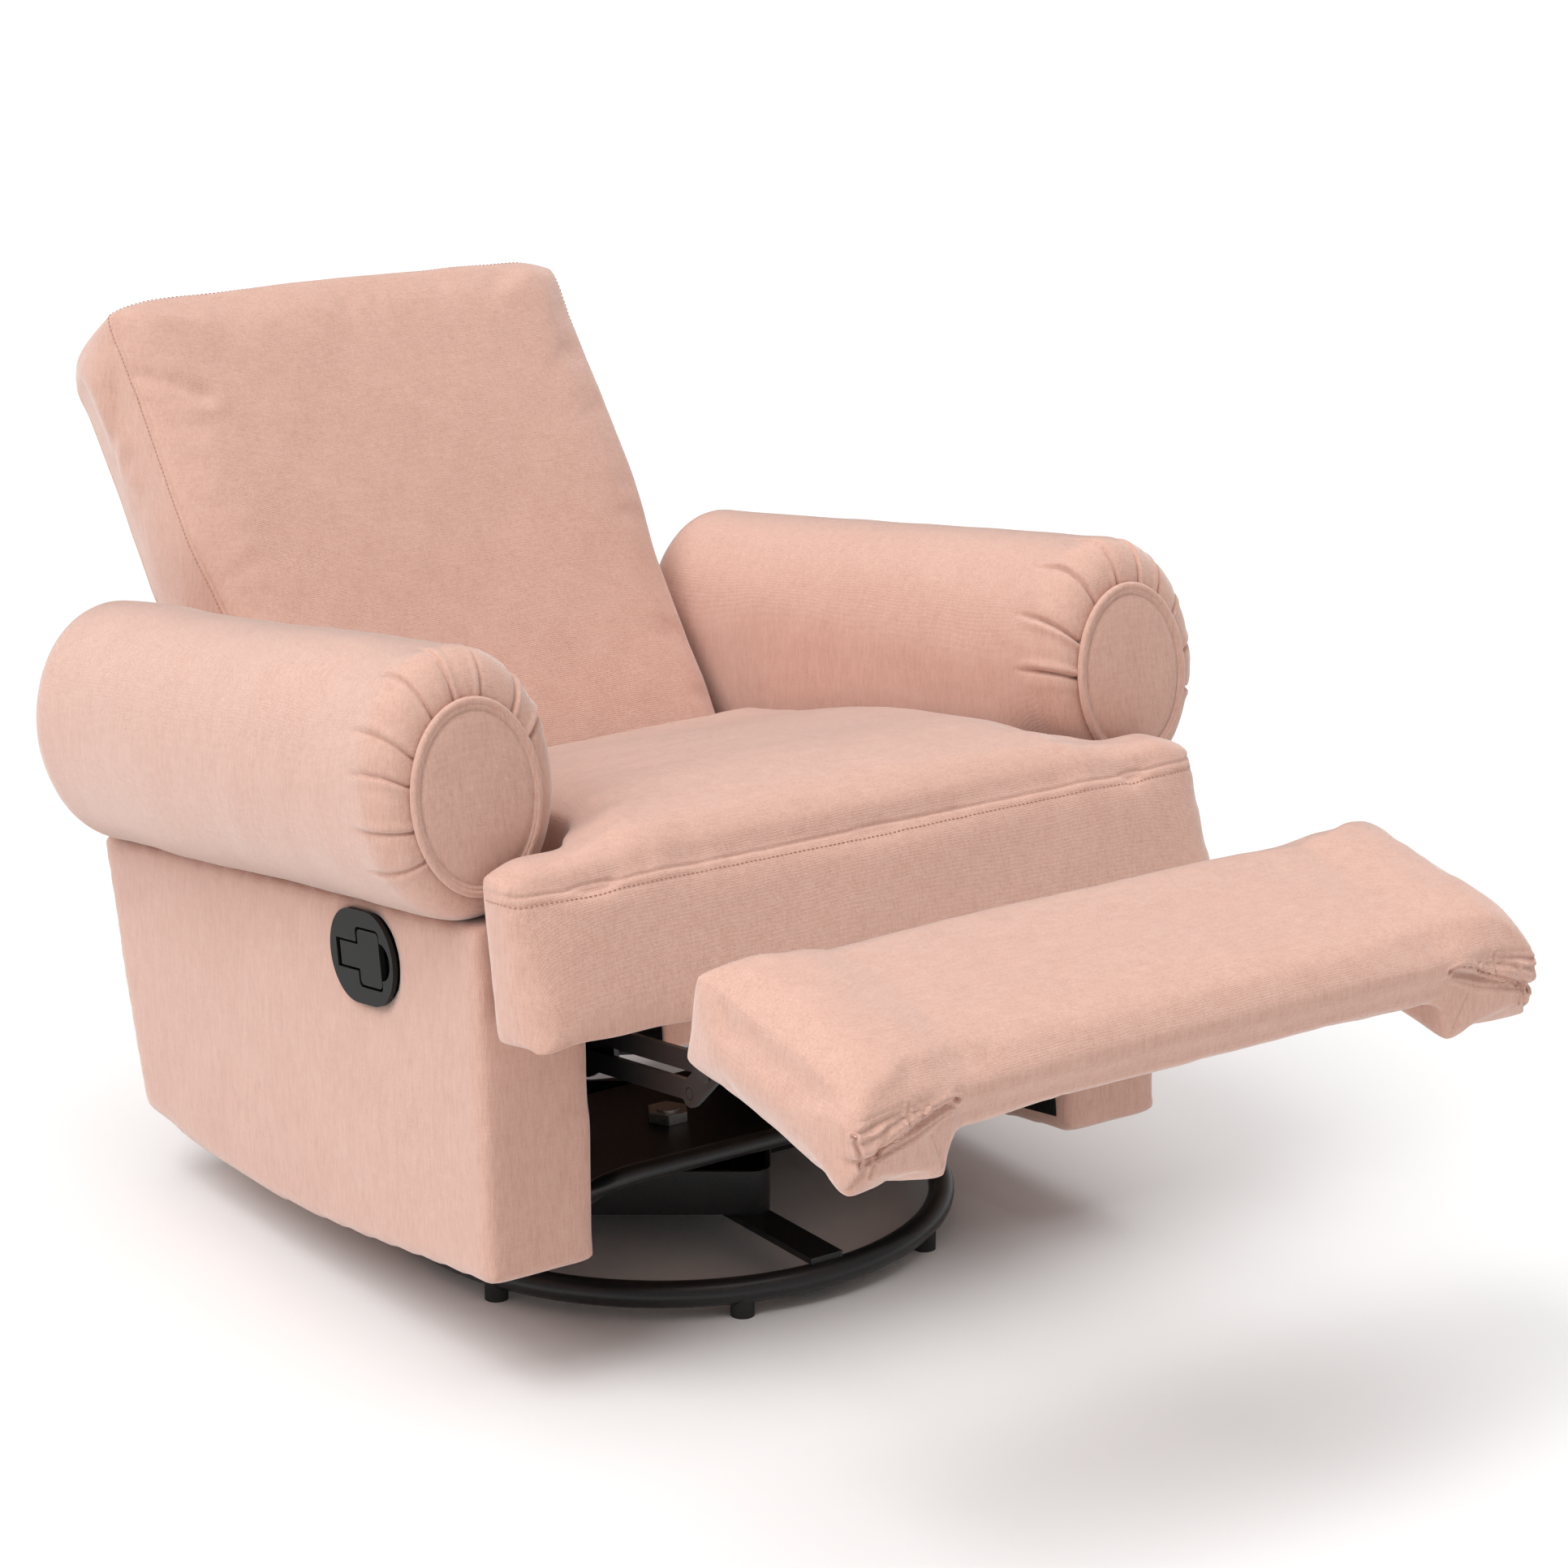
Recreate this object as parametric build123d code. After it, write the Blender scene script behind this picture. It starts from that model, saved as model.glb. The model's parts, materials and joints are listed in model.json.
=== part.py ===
"""Swivel glider recliner for a nursery, in its fully reclined position with the footrest out.

The chair stands on +Z with its front towards -Y.  The origin is on the floor, on the swivel axis.
"left" is the -X side and "right" the +X side, as seen by someone who faces the chair.  The ring,
the swivel and the glide mechanism are drawn level.  The seat body, the backrest and the footrest
are drawn in the level position of the body too, and tip_back() then pitches them together.
All sizes are in millimetres.
"""

import os
from math import atan2, cos, degrees, dist, radians, sin

from build123d import *

# ---------------------------------------------------------------- driving dimensions
# Body
SEAT_GAP = 522.0  # clear width between the two arms
ARM_THICKNESS = 109.0
ARM_FRONT_Y = -301.0  # foot of the front post
ARM_FRONT_LEAN = 30.0  # how far the post's top stands forward of its foot
ARM_REAR_Y = 369.0
ARM_REAR_LEAN = 34.0
ARM_BOTTOM_Z = 68.0
ARM_REAR_BOTTOM_Z = 118.0
BODY_PITCH = 8.0  # degrees that the whole body leans back when it is reclined

# Rolled arm
ROLL_HALF_WIDTH = 90.0
ROLL_HALF_HEIGHT = 117.0
ROLL_CENTRE_Z = 505.0
ROLL_CENTRE_IN = 92.0  # roll axis to the arm's inner face
ROLL_FRONT_Y = -286.0  # where the roll begins to close in towards its disc
ROLL_REAR_Y = 390.0
DISC_HALF_WIDTH = 60.0
DISC_HALF_HEIGHT = 82.0
DISC_CENTRE_Z = 497.0
DISC_THICKNESS = 8.0
SHOULDER_DEPTH = 36.0

# Seat cushion, with wings that cross the fronts of the arms
SEAT_FRONT_Y = -424.0
SEAT_FRONT_LEAN = 28.0
WING_DEPTH = 81.0
WING_OVERHANG = 5.0  # how far each wing stands out past the arm
WING_RADIUS = 30.0
APRON_BOTTOM_Z = 284.0
SEAT_THICKNESS = 51.0  # at its front edge, before the crown
SEAT_CROWN = 12.0
SEAT_REAR_Y = 168.0
SIDE_GAP = 3.0  # soft pieces stand this far off the arms

# Seat frame
RAIL_TOP_Z = 383.0
RAIL_BOTTOM_Z = 300.0
RAIL_THICKNESS = 22.0
FRONT_RAIL_Y = -318.0
REAR_RAIL_Y = 140.0
WEBBING_THICKNESS = 1.6
WEBBING_WIDTH = 50.0
WEBBING_COUNT = 5

# Backrest, measured up its own slope and square to it from the recline pivot
BACK_PIVOT = (255.0, 360.0)
BACK_SLOPE = 29.7  # degrees from upright in the level body
BACK_HEIGHT = 575.0
BACK_FRONT = -75.0
BACK_REAR = 66.0
BACK_OUTER_THICKNESS = 26.0
BACK_OUTER_DROP = 120.0
BACK_HALF_WIDTH = SEAT_GAP / 2 - SIDE_GAP
STILE_WIDTH = 20.0

# Footrest, measured from its own centre: length out from the seat, and height square to the pad
FOOTREST_CENTRE = (-725.0, 308.5)
FOOTREST_SLOPE = 18.9
FOOTREST_INSET = 10.0  # how far each end stands in from the arm's outer face
FOOTREST_DEPTH = 228.0
BLOCK_WIDTH = 102.0
BLOCK_BOTTOM = -29.0
PAD_BOTTOM = 20.0
PAD_TOP = 50.0
PAD_RADIUS = 15.0
BOARD_THICKNESS = 9.0
BRACKET_PIVOT = (50.0, -22.0)

# Footrest linkage
DRIVE_PIVOT = (-260.0, 260.0)
ELBOW_PIVOT = (-460.0, 258.0)
GUIDE_OFFSET = (36.0, -26.0)
LINK_WIDTH = 18.0
LINK_THICKNESS = 5.0
LAYER_GAP = 1.0  # air between neighbouring links
PLATE_GAP = 47.0  # from the arm's inner face to the steel side plate's inner face
DRIVE_TUBE_RADIUS = 10.0
ELBOW_PIN_RADIUS = 6.0
SMALL_PIN_RADIUS = 5.0

# Glide and swivel
GLIDE_PIVOT_Y = 78.0
GLIDE_TOP_Z = 185.0
GLIDE_LENGTH = 110.0
GLIDE_PIN_RADIUS = 6.0
UPRIGHT_GAP = 38.0  # from the glide upright to the steel side plate
GLIDE_GAP = 3.0  # air between the upright, the glide links and the rails
TILT_PIVOT = (10.0, 200.0)
TILT_PIN_RADIUS = 9.0
FRONT_TUBE = (-200.0, 140.0)
REAR_TUBE = (160.0, 112.0)
CROSS_TUBE_RADIUS = 9.0

# Base
RING_RADIUS = 264.0
RING_TUBE_RADIUS = 12.5
FOOT_HEIGHT = 12.0
FOOT_RADIUS = 11.0
FOOT_COUNT = 7
FOOT_START_ANGLE = 200.0
CROSS_BAR_WIDTH = 35.0
CROSS_BAR_THICKNESS = 6.0
HOUSING_WIDTH = 198.0
HOUSING_DEPTH = 244.0
HOUSING_HEIGHT = 43.0
HOUSING_TURN = -35.0
HOUSING_WALL = 4.0
HOUSING_CORNER = 18.0
DRUM_RADIUS = 60.0
SPINDLE_RADIUS = 12.0
TURNTABLE_THICKNESS = 4.0
TURNTABLE_HALF_DEPTH = 100.0

# Release handle, on the outside of the left arm
BEZEL_CENTRE = (-133.0, 338.0)
BEZEL_LENGTH = 113.0
BEZEL_HEIGHT = 85.0
BEZEL_FLANGE = 4.5
BEZEL_LIP = 7.0
POCKET_DEPTH = 21.0
BEZEL_WALL = 2.0
PADDLE_THICKNESS = 5.0
PADDLE_REAR = 38.0  # rear end of the paddle's stem, behind the bezel's middle
PADDLE_HEEL_ROOM = 6.0  # the window's length behind the stem, where the stem's heel swings
STEM_LENGTH = 40.0
STEM_HEIGHT = 22.0
WINDOW_GAP = 2.2
PADDLE_PIN_RADIUS = 2.0
CABLE_RADIUS = 2.5

# Clearances
RUNNING = 0.05  # radial, between a pin and its hole
OPEN_PIVOT = 0.7  # radial, at the one pivot of each closed linkage that only guides
FACE = 0.3  # between flat faces that slide on each other
SEAT_REST = 0.4  # between the webbing and the cushion

# ---------------------------------------------------------------- derived places
ARM_INNER_X = SEAT_GAP / 2
ARM_OUTER_X = ARM_INNER_X + ARM_THICKNESS
PLATE_INNER_X = ARM_INNER_X - PLATE_GAP
WING_HALF_WIDTH = ARM_OUTER_X + WING_OVERHANG
FOOTREST_WIDTH = 2 * (ARM_OUTER_X - FOOTREST_INSET)
SEAT_UNDERSIDE_Z = RAIL_TOP_Z + WEBBING_THICKNESS + SEAT_REST
SEAT_TOP_Z = SEAT_UNDERSIDE_Z + SEAT_THICKNESS
LAYER_STEP = LINK_THICKNESS + LAYER_GAP
GLIDE_STEP = LINK_THICKNESS + GLIDE_GAP
ROLL_X = ARM_INNER_X + ROLL_CENTRE_IN
ARM_TOP_Z = ROLL_CENTRE_Z - ROLL_HALF_HEIGHT + 1
WING_REAR_Y = SEAT_FRONT_Y + WING_DEPTH
CROSS_BAR_Z = FOOT_HEIGHT + 2 * RING_TUBE_RADIUS
HOUSING_Z = CROSS_BAR_Z + CROSS_BAR_THICKNESS
HOUSING_TOP = HOUSING_Z + HOUSING_HEIGHT
TURNTABLE_Z = HOUSING_TOP + 2
GUIDE_PIVOT = (DRIVE_PIVOT[0] + GUIDE_OFFSET[0], DRIVE_PIVOT[1] + GUIDE_OFFSET[1])
ELBOW_GUIDE = (ELBOW_PIVOT[0] + GUIDE_OFFSET[0], ELBOW_PIVOT[1] + GUIDE_OFFSET[1])
UPRIGHT_INNER_X = PLATE_INNER_X - UPRIGHT_GAP
DRIVE_LAYER = PLATE_INNER_X + LAYER_STEP
ELBOW_LAYER = DRIVE_LAYER + LAYER_STEP
THRUST_LAYER = ELBOW_LAYER + LAYER_STEP
BRACKET_LAYER = THRUST_LAYER + LAYER_STEP
GLIDE_LINK_X = UPRIGHT_INNER_X + GLIDE_STEP
CARRIAGE_X = GLIDE_LINK_X + GLIDE_STEP
GLIDE_LOW_Z = GLIDE_TOP_Z - GLIDE_LENGTH
SIDES = (("left", -1), ("right", 1))


# ---------------------------------------------------------------- shared shapes
def block(x0, x1, y0, y1, z0, z1):
    """A box between two opposite corners."""
    middle = Pos((x0 + x1) / 2, (y0 + y1) / 2, (z0 + z1) / 2)
    return middle * Box(abs(x1 - x0), abs(y1 - y0), abs(z1 - z0))


def side_outline(points, radius=0.0):
    """A closed outline in the side (Y, Z) plane, with its corners rounded."""
    outline = make_face(Polyline(*points, close=True))
    return fillet(outline.vertices(), radius) if radius else outline


def slab(outline, x0, x1):
    """Gives a side outline its thickness from x0 to x1."""
    return extrude(Plane.YZ.offset(min(x0, x1)) * outline, amount=abs(x1 - x0))


def rod(place, radius, x0, x1):
    """A round bar along X at a (y, z) place."""
    middle = Pos((x0 + x1) / 2, place[0], place[1])
    return middle * Rot(0, 90, 0) * Cylinder(radius, abs(x1 - x0))


def flat_link(start, end, width, x0, x1):
    """A flat link with round ends between two (y, z) places."""
    middle = Pos((start[0] + end[0]) / 2, (start[1] + end[1]) / 2)
    turn = degrees(atan2(end[1] - start[1], end[0] - start[0]))
    outline = middle * Rot(0, 0, turn) * SlotCenterToCenter(dist(start, end), width)
    return slab(outline, x0, x1)


def headed_pin(place, radius, sign, inner, outer, head):
    """A pin from x = inner to outer on one side of the chair, its head at the outer end."""
    shank = rod(place, radius, sign * inner, sign * outer)
    return shank + rod(place, radius + 3, sign * (outer - head), sign * outer)


def bent_tube(points, radius, bend):
    """A round tube along straight runs that are joined by bends."""
    path = FilletPolyline(*points, radius=bend)
    start = Plane(origin=path @ 0, z_dir=path % 0)
    return sweep(start * Circle(radius), path)


def swing(place, pitch):
    """A (y, z) place turned about the X axis through the origin."""
    angle = radians(pitch)
    y = place[0] * cos(angle) - place[1] * sin(angle)
    return y, place[0] * sin(angle) + place[1] * cos(angle)


def tip_back(shape):
    """Pitches a piece of the level body to the reclined position."""
    return Rot(-BODY_PITCH, 0, 0) * shape


def on_back(shape):
    """Puts a piece of the backrest, drawn upright about the recline pivot, on its slope."""
    return Pos(0, *BACK_PIVOT) * Rot(-BACK_SLOPE, 0, 0) * shape


def on_footrest(shape):
    """Puts a piece of the footrest, drawn level about its own centre, on its slope."""
    return Pos(0, *FOOTREST_CENTRE) * Rot(FOOTREST_SLOPE, 0, 0) * shape


TILT_PLACE = swing(TILT_PIVOT, BODY_PITCH)  # the tilt pivot in the level body


# ---------------------------------------------------------------- base
def base_ring():
    """The round tube that the chair stands on."""
    return Pos(0, 0, FOOT_HEIGHT + RING_TUBE_RADIUS) * Torus(RING_RADIUS, RING_TUBE_RADIUS)


def base_cross():
    """Two flat bars across the ring, with a round plate where they meet."""
    length = 2 * RING_RADIUS
    middle = CROSS_BAR_Z + CROSS_BAR_THICKNESS / 2
    bars = Pos(0, 0, middle) * Box(length, CROSS_BAR_WIDTH, CROSS_BAR_THICKNESS)
    bars += Pos(0, 0, middle) * Box(CROSS_BAR_WIDTH, length, CROSS_BAR_THICKNESS)
    return bars + Pos(0, 0, middle) * Cylinder(DRUM_RADIUS, CROSS_BAR_THICKNESS)


def base_feet():
    """Small round feet, evenly spaced and cut to the tube's underside."""
    foot = Pos(0, 0, RING_TUBE_RADIUS) * Cylinder(FOOT_RADIUS, 2 * RING_TUBE_RADIUS)
    ring = base_ring()
    feet = []
    for number in range(FOOT_COUNT):
        angle = radians(FOOT_START_ANGLE + 360 * number / FOOT_COUNT)
        feet += (Pos(RING_RADIUS * cos(angle), RING_RADIUS * sin(angle), 0) * foot - ring).solids()
    return Compound([foot for foot in feet if foot.center().Z < FOOT_HEIGHT])


def swivel_housing():
    """A pressed pan with rounded corners and a bearing drum in its middle."""
    outer = RectangleRounded(HOUSING_WIDTH, HOUSING_DEPTH, HOUSING_CORNER)
    inner = RectangleRounded(
        HOUSING_WIDTH - 2 * HOUSING_WALL,
        HOUSING_DEPTH - 2 * HOUSING_WALL,
        HOUSING_CORNER - HOUSING_WALL,
    )
    pan = extrude(outer, amount=HOUSING_HEIGHT)
    pan -= Pos(0, 0, HOUSING_WALL) * extrude(inner, amount=HOUSING_HEIGHT)
    pan += extrude(Circle(DRUM_RADIUS), amount=HOUSING_HEIGHT - HOUSING_WALL)
    pan -= extrude(Circle(SPINDLE_RADIUS), amount=HOUSING_HEIGHT)
    return Pos(0, 0, HOUSING_Z) * Rot(0, 0, HOUSING_TURN) * pan


def bearing_ring():
    """The flat race that the turntable turns on."""
    height = TURNTABLE_Z - FACE - (HOUSING_TOP - HOUSING_WALL)
    ring = extrude(Circle(DRUM_RADIUS - 4) - Circle(SPINDLE_RADIUS + 14), amount=height)
    return Pos(0, 0, HOUSING_TOP - HOUSING_WALL) * ring


def swivel_spindle():
    """The plain post that the turntable turns about."""
    top = TURNTABLE_Z + TURNTABLE_THICKNESS + FACE
    post = extrude(Circle(SPINDLE_RADIUS), amount=top + 12 - HOUSING_Z)
    return Pos(0, 0, HOUSING_Z) * post


def spindle_nut():
    """The nut that keeps the turntable on the spindle."""
    top = TURNTABLE_Z + TURNTABLE_THICKNESS + FACE
    nut = RegularPolygon(SPINDLE_RADIUS + 9, 6) - Circle(SPINDLE_RADIUS)
    return Pos(0, 0, top) * extrude(nut, amount=10)


# ---------------------------------------------------------------- swivel and glide
def turntable_plate():
    """The plate that turns on the bearing and carries the glide uprights."""
    plate = Rectangle(2 * UPRIGHT_INNER_X, 2 * TURNTABLE_HALF_DEPTH)
    plate -= Circle(SPINDLE_RADIUS + RUNNING)
    return Pos(0, 0, TURNTABLE_Z) * extrude(plate, amount=TURNTABLE_THICKNESS)


def glide_upright(sign):
    """A U-shaped side plate with the two pins that the glide links hang from."""
    half = GLIDE_PIVOT_Y + 12
    post = 24.0
    top = GLIDE_TOP_Z + 12
    sill = TURNTABLE_Z + 24
    points = [
        (-half, TURNTABLE_Z),
        (half, TURNTABLE_Z),
        (half, top),
        (half - post, top),
        (half - post, sill),
        (post - half, sill),
        (post - half, top),
        (-half, top),
    ]
    x0 = sign * UPRIGHT_INNER_X
    shape = slab(side_outline(points, 6), x0, x0 + sign * LINK_THICKNESS)
    for y in (-GLIDE_PIVOT_Y, GLIDE_PIVOT_Y):
        outer = CARRIAGE_X - 0.8
        shape += headed_pin((y, GLIDE_TOP_Z), GLIDE_PIN_RADIUS, sign, UPRIGHT_INNER_X, outer, 1.6)
    return shape


def swing_link(sign, y):
    """A hanging glide link: its top turns on the upright's pin, its foot on the carriage's."""
    x0 = sign * GLIDE_LINK_X
    x1 = x0 + sign * LINK_THICKNESS
    link = flat_link((y, GLIDE_TOP_Z), (y, GLIDE_LOW_Z), 24, x0, x1)
    for z in (GLIDE_TOP_Z, GLIDE_LOW_Z):
        clearance = OPEN_PIVOT if (z == GLIDE_LOW_Z and y > 0) else RUNNING
        link -= rod((y, z), GLIDE_PIN_RADIUS + clearance, x0, x1)
    return link


def carriage_rail(sign):
    """The gliding side rail, with its riser, its tilt pin and the pins for the links' feet."""
    x0 = sign * CARRIAGE_X
    x1 = x0 + sign * LINK_THICKNESS
    reach = GLIDE_PIVOT_Y + 34
    rail = flat_link((-reach, GLIDE_LOW_Z), (reach, GLIDE_LOW_Z), 24, x0, x1)
    rail += flat_link((TILT_PIVOT[0], GLIDE_LOW_Z), TILT_PIVOT, 30, x0, x1)
    outer = DRIVE_LAYER + 1.2
    rail += headed_pin(TILT_PIVOT, TILT_PIN_RADIUS, sign, CARRIAGE_X, outer, 1.6)
    for y in (-GLIDE_PIVOT_Y, GLIDE_PIVOT_Y):
        place = (y, GLIDE_LOW_Z)
        inner = UPRIGHT_INNER_X + LINK_THICKNESS + 0.8
        rail += rod(place, GLIDE_PIN_RADIUS, x0, sign * inner)
        rail += rod(place, GLIDE_PIN_RADIUS + 3, sign * inner, sign * (inner + 1.6))
    return rail


def carriage_tube(place, rails):
    """A cross tube whose bent ends meet the two carriage rails."""
    x = CARRIAGE_X + LINK_THICKNESS / 2
    root_y = (GLIDE_PIVOT_Y + 34) * (-1 if place[0] < 0 else 1)
    points = [
        (-x, root_y, GLIDE_LOW_Z),
        (-x, *place),
        (x, *place),
        (x, root_y, GLIDE_LOW_Z),
    ]
    tube = bent_tube(points, CROSS_TUBE_RADIUS, 30)
    for rail in rails:
        tube -= rail
    return max(tube.solids(), key=lambda solid: solid.volume)


# ---------------------------------------------------------------- body frame
def side_plate(sign):
    """The pressed steel side of the mechanism, with the guide link's pin and the recline pin."""
    points = [
        (-288, 330),
        (-288, 236),
        (-240, 214),
        (-120, 236),
        (TILT_PLACE[0] - 34, TILT_PLACE[1] - 6),
        (TILT_PLACE[0], TILT_PLACE[1] - 24),
        (TILT_PLACE[0] + 34, TILT_PLACE[1] - 6),
        (REAR_RAIL_Y + 10, 236),
        (BACK_PIVOT[0] + 2, 300),
        (BACK_PIVOT[0] + 20, BACK_PIVOT[1]),
        (BACK_PIVOT[0] + 12, BACK_PIVOT[1] + 20),
        (BACK_PIVOT[0] - 20, BACK_PIVOT[1] + 18),
        (BACK_PIVOT[0] - 32, 322),
        (REAR_RAIL_Y + RAIL_THICKNESS + 8, RAIL_BOTTOM_Z - 3),
        (REAR_RAIL_Y - 6, RAIL_BOTTOM_Z - 3),
        (REAR_RAIL_Y - 6, 330),
    ]
    x0 = sign * PLATE_INNER_X
    x1 = x0 + sign * LINK_THICKNESS
    plate = slab(side_outline(points, 8), x0, x1)
    plate -= rod(DRIVE_PIVOT, DRIVE_TUBE_RADIUS + RUNNING, x0, x1)
    plate -= rod(TILT_PLACE, TILT_PIN_RADIUS + RUNNING, x0, x1)
    outer = DRIVE_LAYER + LINK_THICKNESS
    plate += headed_pin(GUIDE_PIVOT, SMALL_PIN_RADIUS, sign, PLATE_INNER_X, outer + 2, 1.7)
    plate += headed_pin(BACK_PIVOT, 8, sign, PLATE_INNER_X, outer + 2.4, 2)
    return plate


def seat_rail_cross(y):
    """A hardwood rail from arm to arm."""
    return block(-ARM_INNER_X, ARM_INNER_X, y, y + RAIL_THICKNESS, RAIL_BOTTOM_Z, RAIL_TOP_Z)


def seat_rail_side(sign):
    """A hardwood rail from the front cross rail to the rear one."""
    outer = sign * PLATE_INNER_X
    front = FRONT_RAIL_Y + RAIL_THICKNESS
    return block(outer - sign * RAIL_THICKNESS, outer, front, REAR_RAIL_Y, RAIL_BOTTOM_Z, RAIL_TOP_Z)


def seat_webbing():
    """Elastic straps over the rails, front to back."""
    half = PLATE_INNER_X - WEBBING_WIDTH / 2
    straps = []
    for number in range(WEBBING_COUNT):
        x = -half + 2 * half * number / (WEBBING_COUNT - 1)
        front = FRONT_RAIL_Y
        rear = REAR_RAIL_Y + RAIL_THICKNESS
        top = RAIL_TOP_Z + WEBBING_THICKNESS
        w = WEBBING_WIDTH / 2
        straps.append(block(x - w, x + w, front, rear, RAIL_TOP_Z, top))
    return Compound(straps)


def seat_cushion():
    """The T-shaped cushion: a deck between the arms and a wide front with rounded ends."""
    crown = SEAT_TOP_Z + SEAT_CROWN
    front = side_outline(
        [
            (SEAT_FRONT_Y, APRON_BOTTOM_Z),
            (SEAT_FRONT_Y + SEAT_FRONT_LEAN, SEAT_TOP_Z),
            (WING_REAR_Y, crown),
            (WING_REAR_Y, APRON_BOTTOM_Z),
        ]
    )
    wings = slab(front, -WING_HALF_WIDTH, WING_HALF_WIDTH)
    corners = wings.edges().filter_by(
        lambda edge: edge.center().Y < SEAT_FRONT_Y + SEAT_FRONT_LEAN
        and abs(edge.center().X) > WING_HALF_WIDTH - 1
    )
    wings = fillet(corners, WING_RADIUS)
    half = ARM_INNER_X - SIDE_GAP
    deck = block(-half, half, WING_REAR_Y, SEAT_REAR_Y, SEAT_UNDERSIDE_Z, crown)
    return wings + deck


def seat_flap():
    """The cloth flap that hangs below the middle of the seat's front edge."""
    half = PLATE_INNER_X - 9
    y = WING_REAR_Y - 3
    return block(-half, half, y - 2.5, y, APRON_BOTTOM_Z - 34, APRON_BOTTOM_Z)


def rear_panel():
    """The low panel that closes the body behind the seat."""
    y = ARM_REAR_Y - 24
    return block(-ARM_INNER_X, ARM_INNER_X, y, y + 20, ARM_REAR_BOTTOM_Z + 2, RAIL_BOTTOM_Z + 30)


# ---------------------------------------------------------------- arms
def arm_roll(sign):
    """The rolled armrest: an oval bolster that closes in towards its front disc."""
    tube = Ellipse(ROLL_HALF_WIDTH, ROLL_HALF_HEIGHT)
    upright = Pos(sign * ROLL_X, 0, ROLL_CENTRE_Z) * Rot(90, 0, 0)
    body = upright * Pos(0, 0, -ROLL_REAR_Y) * extrude(tube, amount=ROLL_REAR_Y - ROLL_FRONT_Y)
    neck = [Pos(0, 0, -ROLL_FRONT_Y) * tube]
    for part in (0.5, 0.85, 1.0):
        share = 1 - (1 - part**2) ** 0.5
        half_width = ROLL_HALF_WIDTH + (DISC_HALF_WIDTH + 4 - ROLL_HALF_WIDTH) * share
        half_height = ROLL_HALF_HEIGHT + (DISC_HALF_HEIGHT + 4 - ROLL_HALF_HEIGHT) * share
        drop = (DISC_CENTRE_Z - ROLL_CENTRE_Z) * share
        oval = Ellipse(half_width, half_height)
        neck.append(Pos(0, drop, -ROLL_FRONT_Y + SHOULDER_DEPTH * part) * oval)
    return body + upright * loft(neck)


def arm_disc(sign):
    """The flat oval disc on the front of the rolled arm."""
    disc = extrude(Ellipse(DISC_HALF_WIDTH, DISC_HALF_HEIGHT), amount=DISC_THICKNESS)
    y = ROLL_FRONT_Y - SHOULDER_DEPTH
    return Pos(sign * ROLL_X, y, DISC_CENTRE_Z) * Rot(90, 0, 0) * disc


def arm_outline(top):
    """The side of the arm up to a given height, with its curved lower edge."""
    rise = ARM_TOP_Z - ARM_BOTTOM_Z
    front_slope = ARM_FRONT_LEAN / rise
    rear_slope = ARM_REAR_LEAN / (ARM_TOP_Z - ARM_REAR_BOTTOM_Z)
    front_top = (ARM_FRONT_Y - front_slope * (top - ARM_BOTTOM_Z), top)
    rear_top = (ARM_REAR_Y + rear_slope * (top - ARM_REAR_BOTTOM_Z), top)
    lift = ARM_REAR_BOTTOM_Z - ARM_BOTTOM_Z
    foot = (ARM_FRONT_Y, ARM_BOTTOM_Z)
    heel = (ARM_REAR_Y, ARM_REAR_BOTTOM_Z)
    edges = [
        Line(front_top, foot),
        Line(foot, (0, ARM_BOTTOM_Z)),
        ThreePointArc((0, ARM_BOTTOM_Z), (ARM_REAR_Y / 2, ARM_BOTTOM_Z + 0.3 * lift), heel),
        Line(heel, rear_top),
        Line(rear_top, front_top),
    ]
    return make_face(edges)


def arm_panel(sign):
    """The upholstered side of the body below the rolled arm, open where the release sits."""
    lower = slab(arm_outline(ARM_TOP_Z), sign * ARM_INNER_X, sign * ARM_OUTER_X)
    inner_x = sign * (ARM_INNER_X + 60)
    upper = slab(arm_outline(ROLL_CENTRE_Z - 35), sign * ARM_INNER_X, inner_x)
    panel = lower + upper
    front_limit = ROLL_FRONT_Y - SHOULDER_DEPTH
    panel -= block(0, sign * 500, front_limit, front_limit - 60, ARM_TOP_Z, 600)
    panel -= arm_roll(sign)
    if sign < 0:
        panel -= slab(bezel_oval(BEZEL_LIP - 1), -ARM_OUTER_X, -ARM_OUTER_X + POCKET_DEPTH + 1)
        entry = (BEZEL_CENTRE[0], BEZEL_CENTRE[1])
        panel -= rod(entry, CABLE_RADIUS + 6, -ARM_OUTER_X, -ARM_INNER_X)
    return max(panel.solids(), key=lambda solid: solid.volume)


# ---------------------------------------------------------------- release handle
def bezel_oval(inset):
    """The round-ended outline of the release bezel, made smaller all round."""
    length = BEZEL_LENGTH - 2 * inset
    height = BEZEL_HEIGHT - 2 * inset
    return Pos(*BEZEL_CENTRE) * SlotOverall(length, height)


def paddle_outline(margin):
    """A T: a wide grip to the front and a narrow stem to the rear."""
    y, z = BEZEL_CENTRE
    grip = Pos(y - 14, z) * RectangleRounded(38 + 2 * margin, 50 + 2 * margin, 5)
    length = STEM_LENGTH + 2 * margin
    stem = Pos(y + PADDLE_REAR - STEM_LENGTH / 2, z) * Rectangle(length, STEM_HEIGHT + 2 * margin)
    return grip + stem


def paddle_axis():
    """The x and y of the paddle's upright pin."""
    return -ARM_OUTER_X + 7, BEZEL_CENTRE[0] + 34


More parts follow.
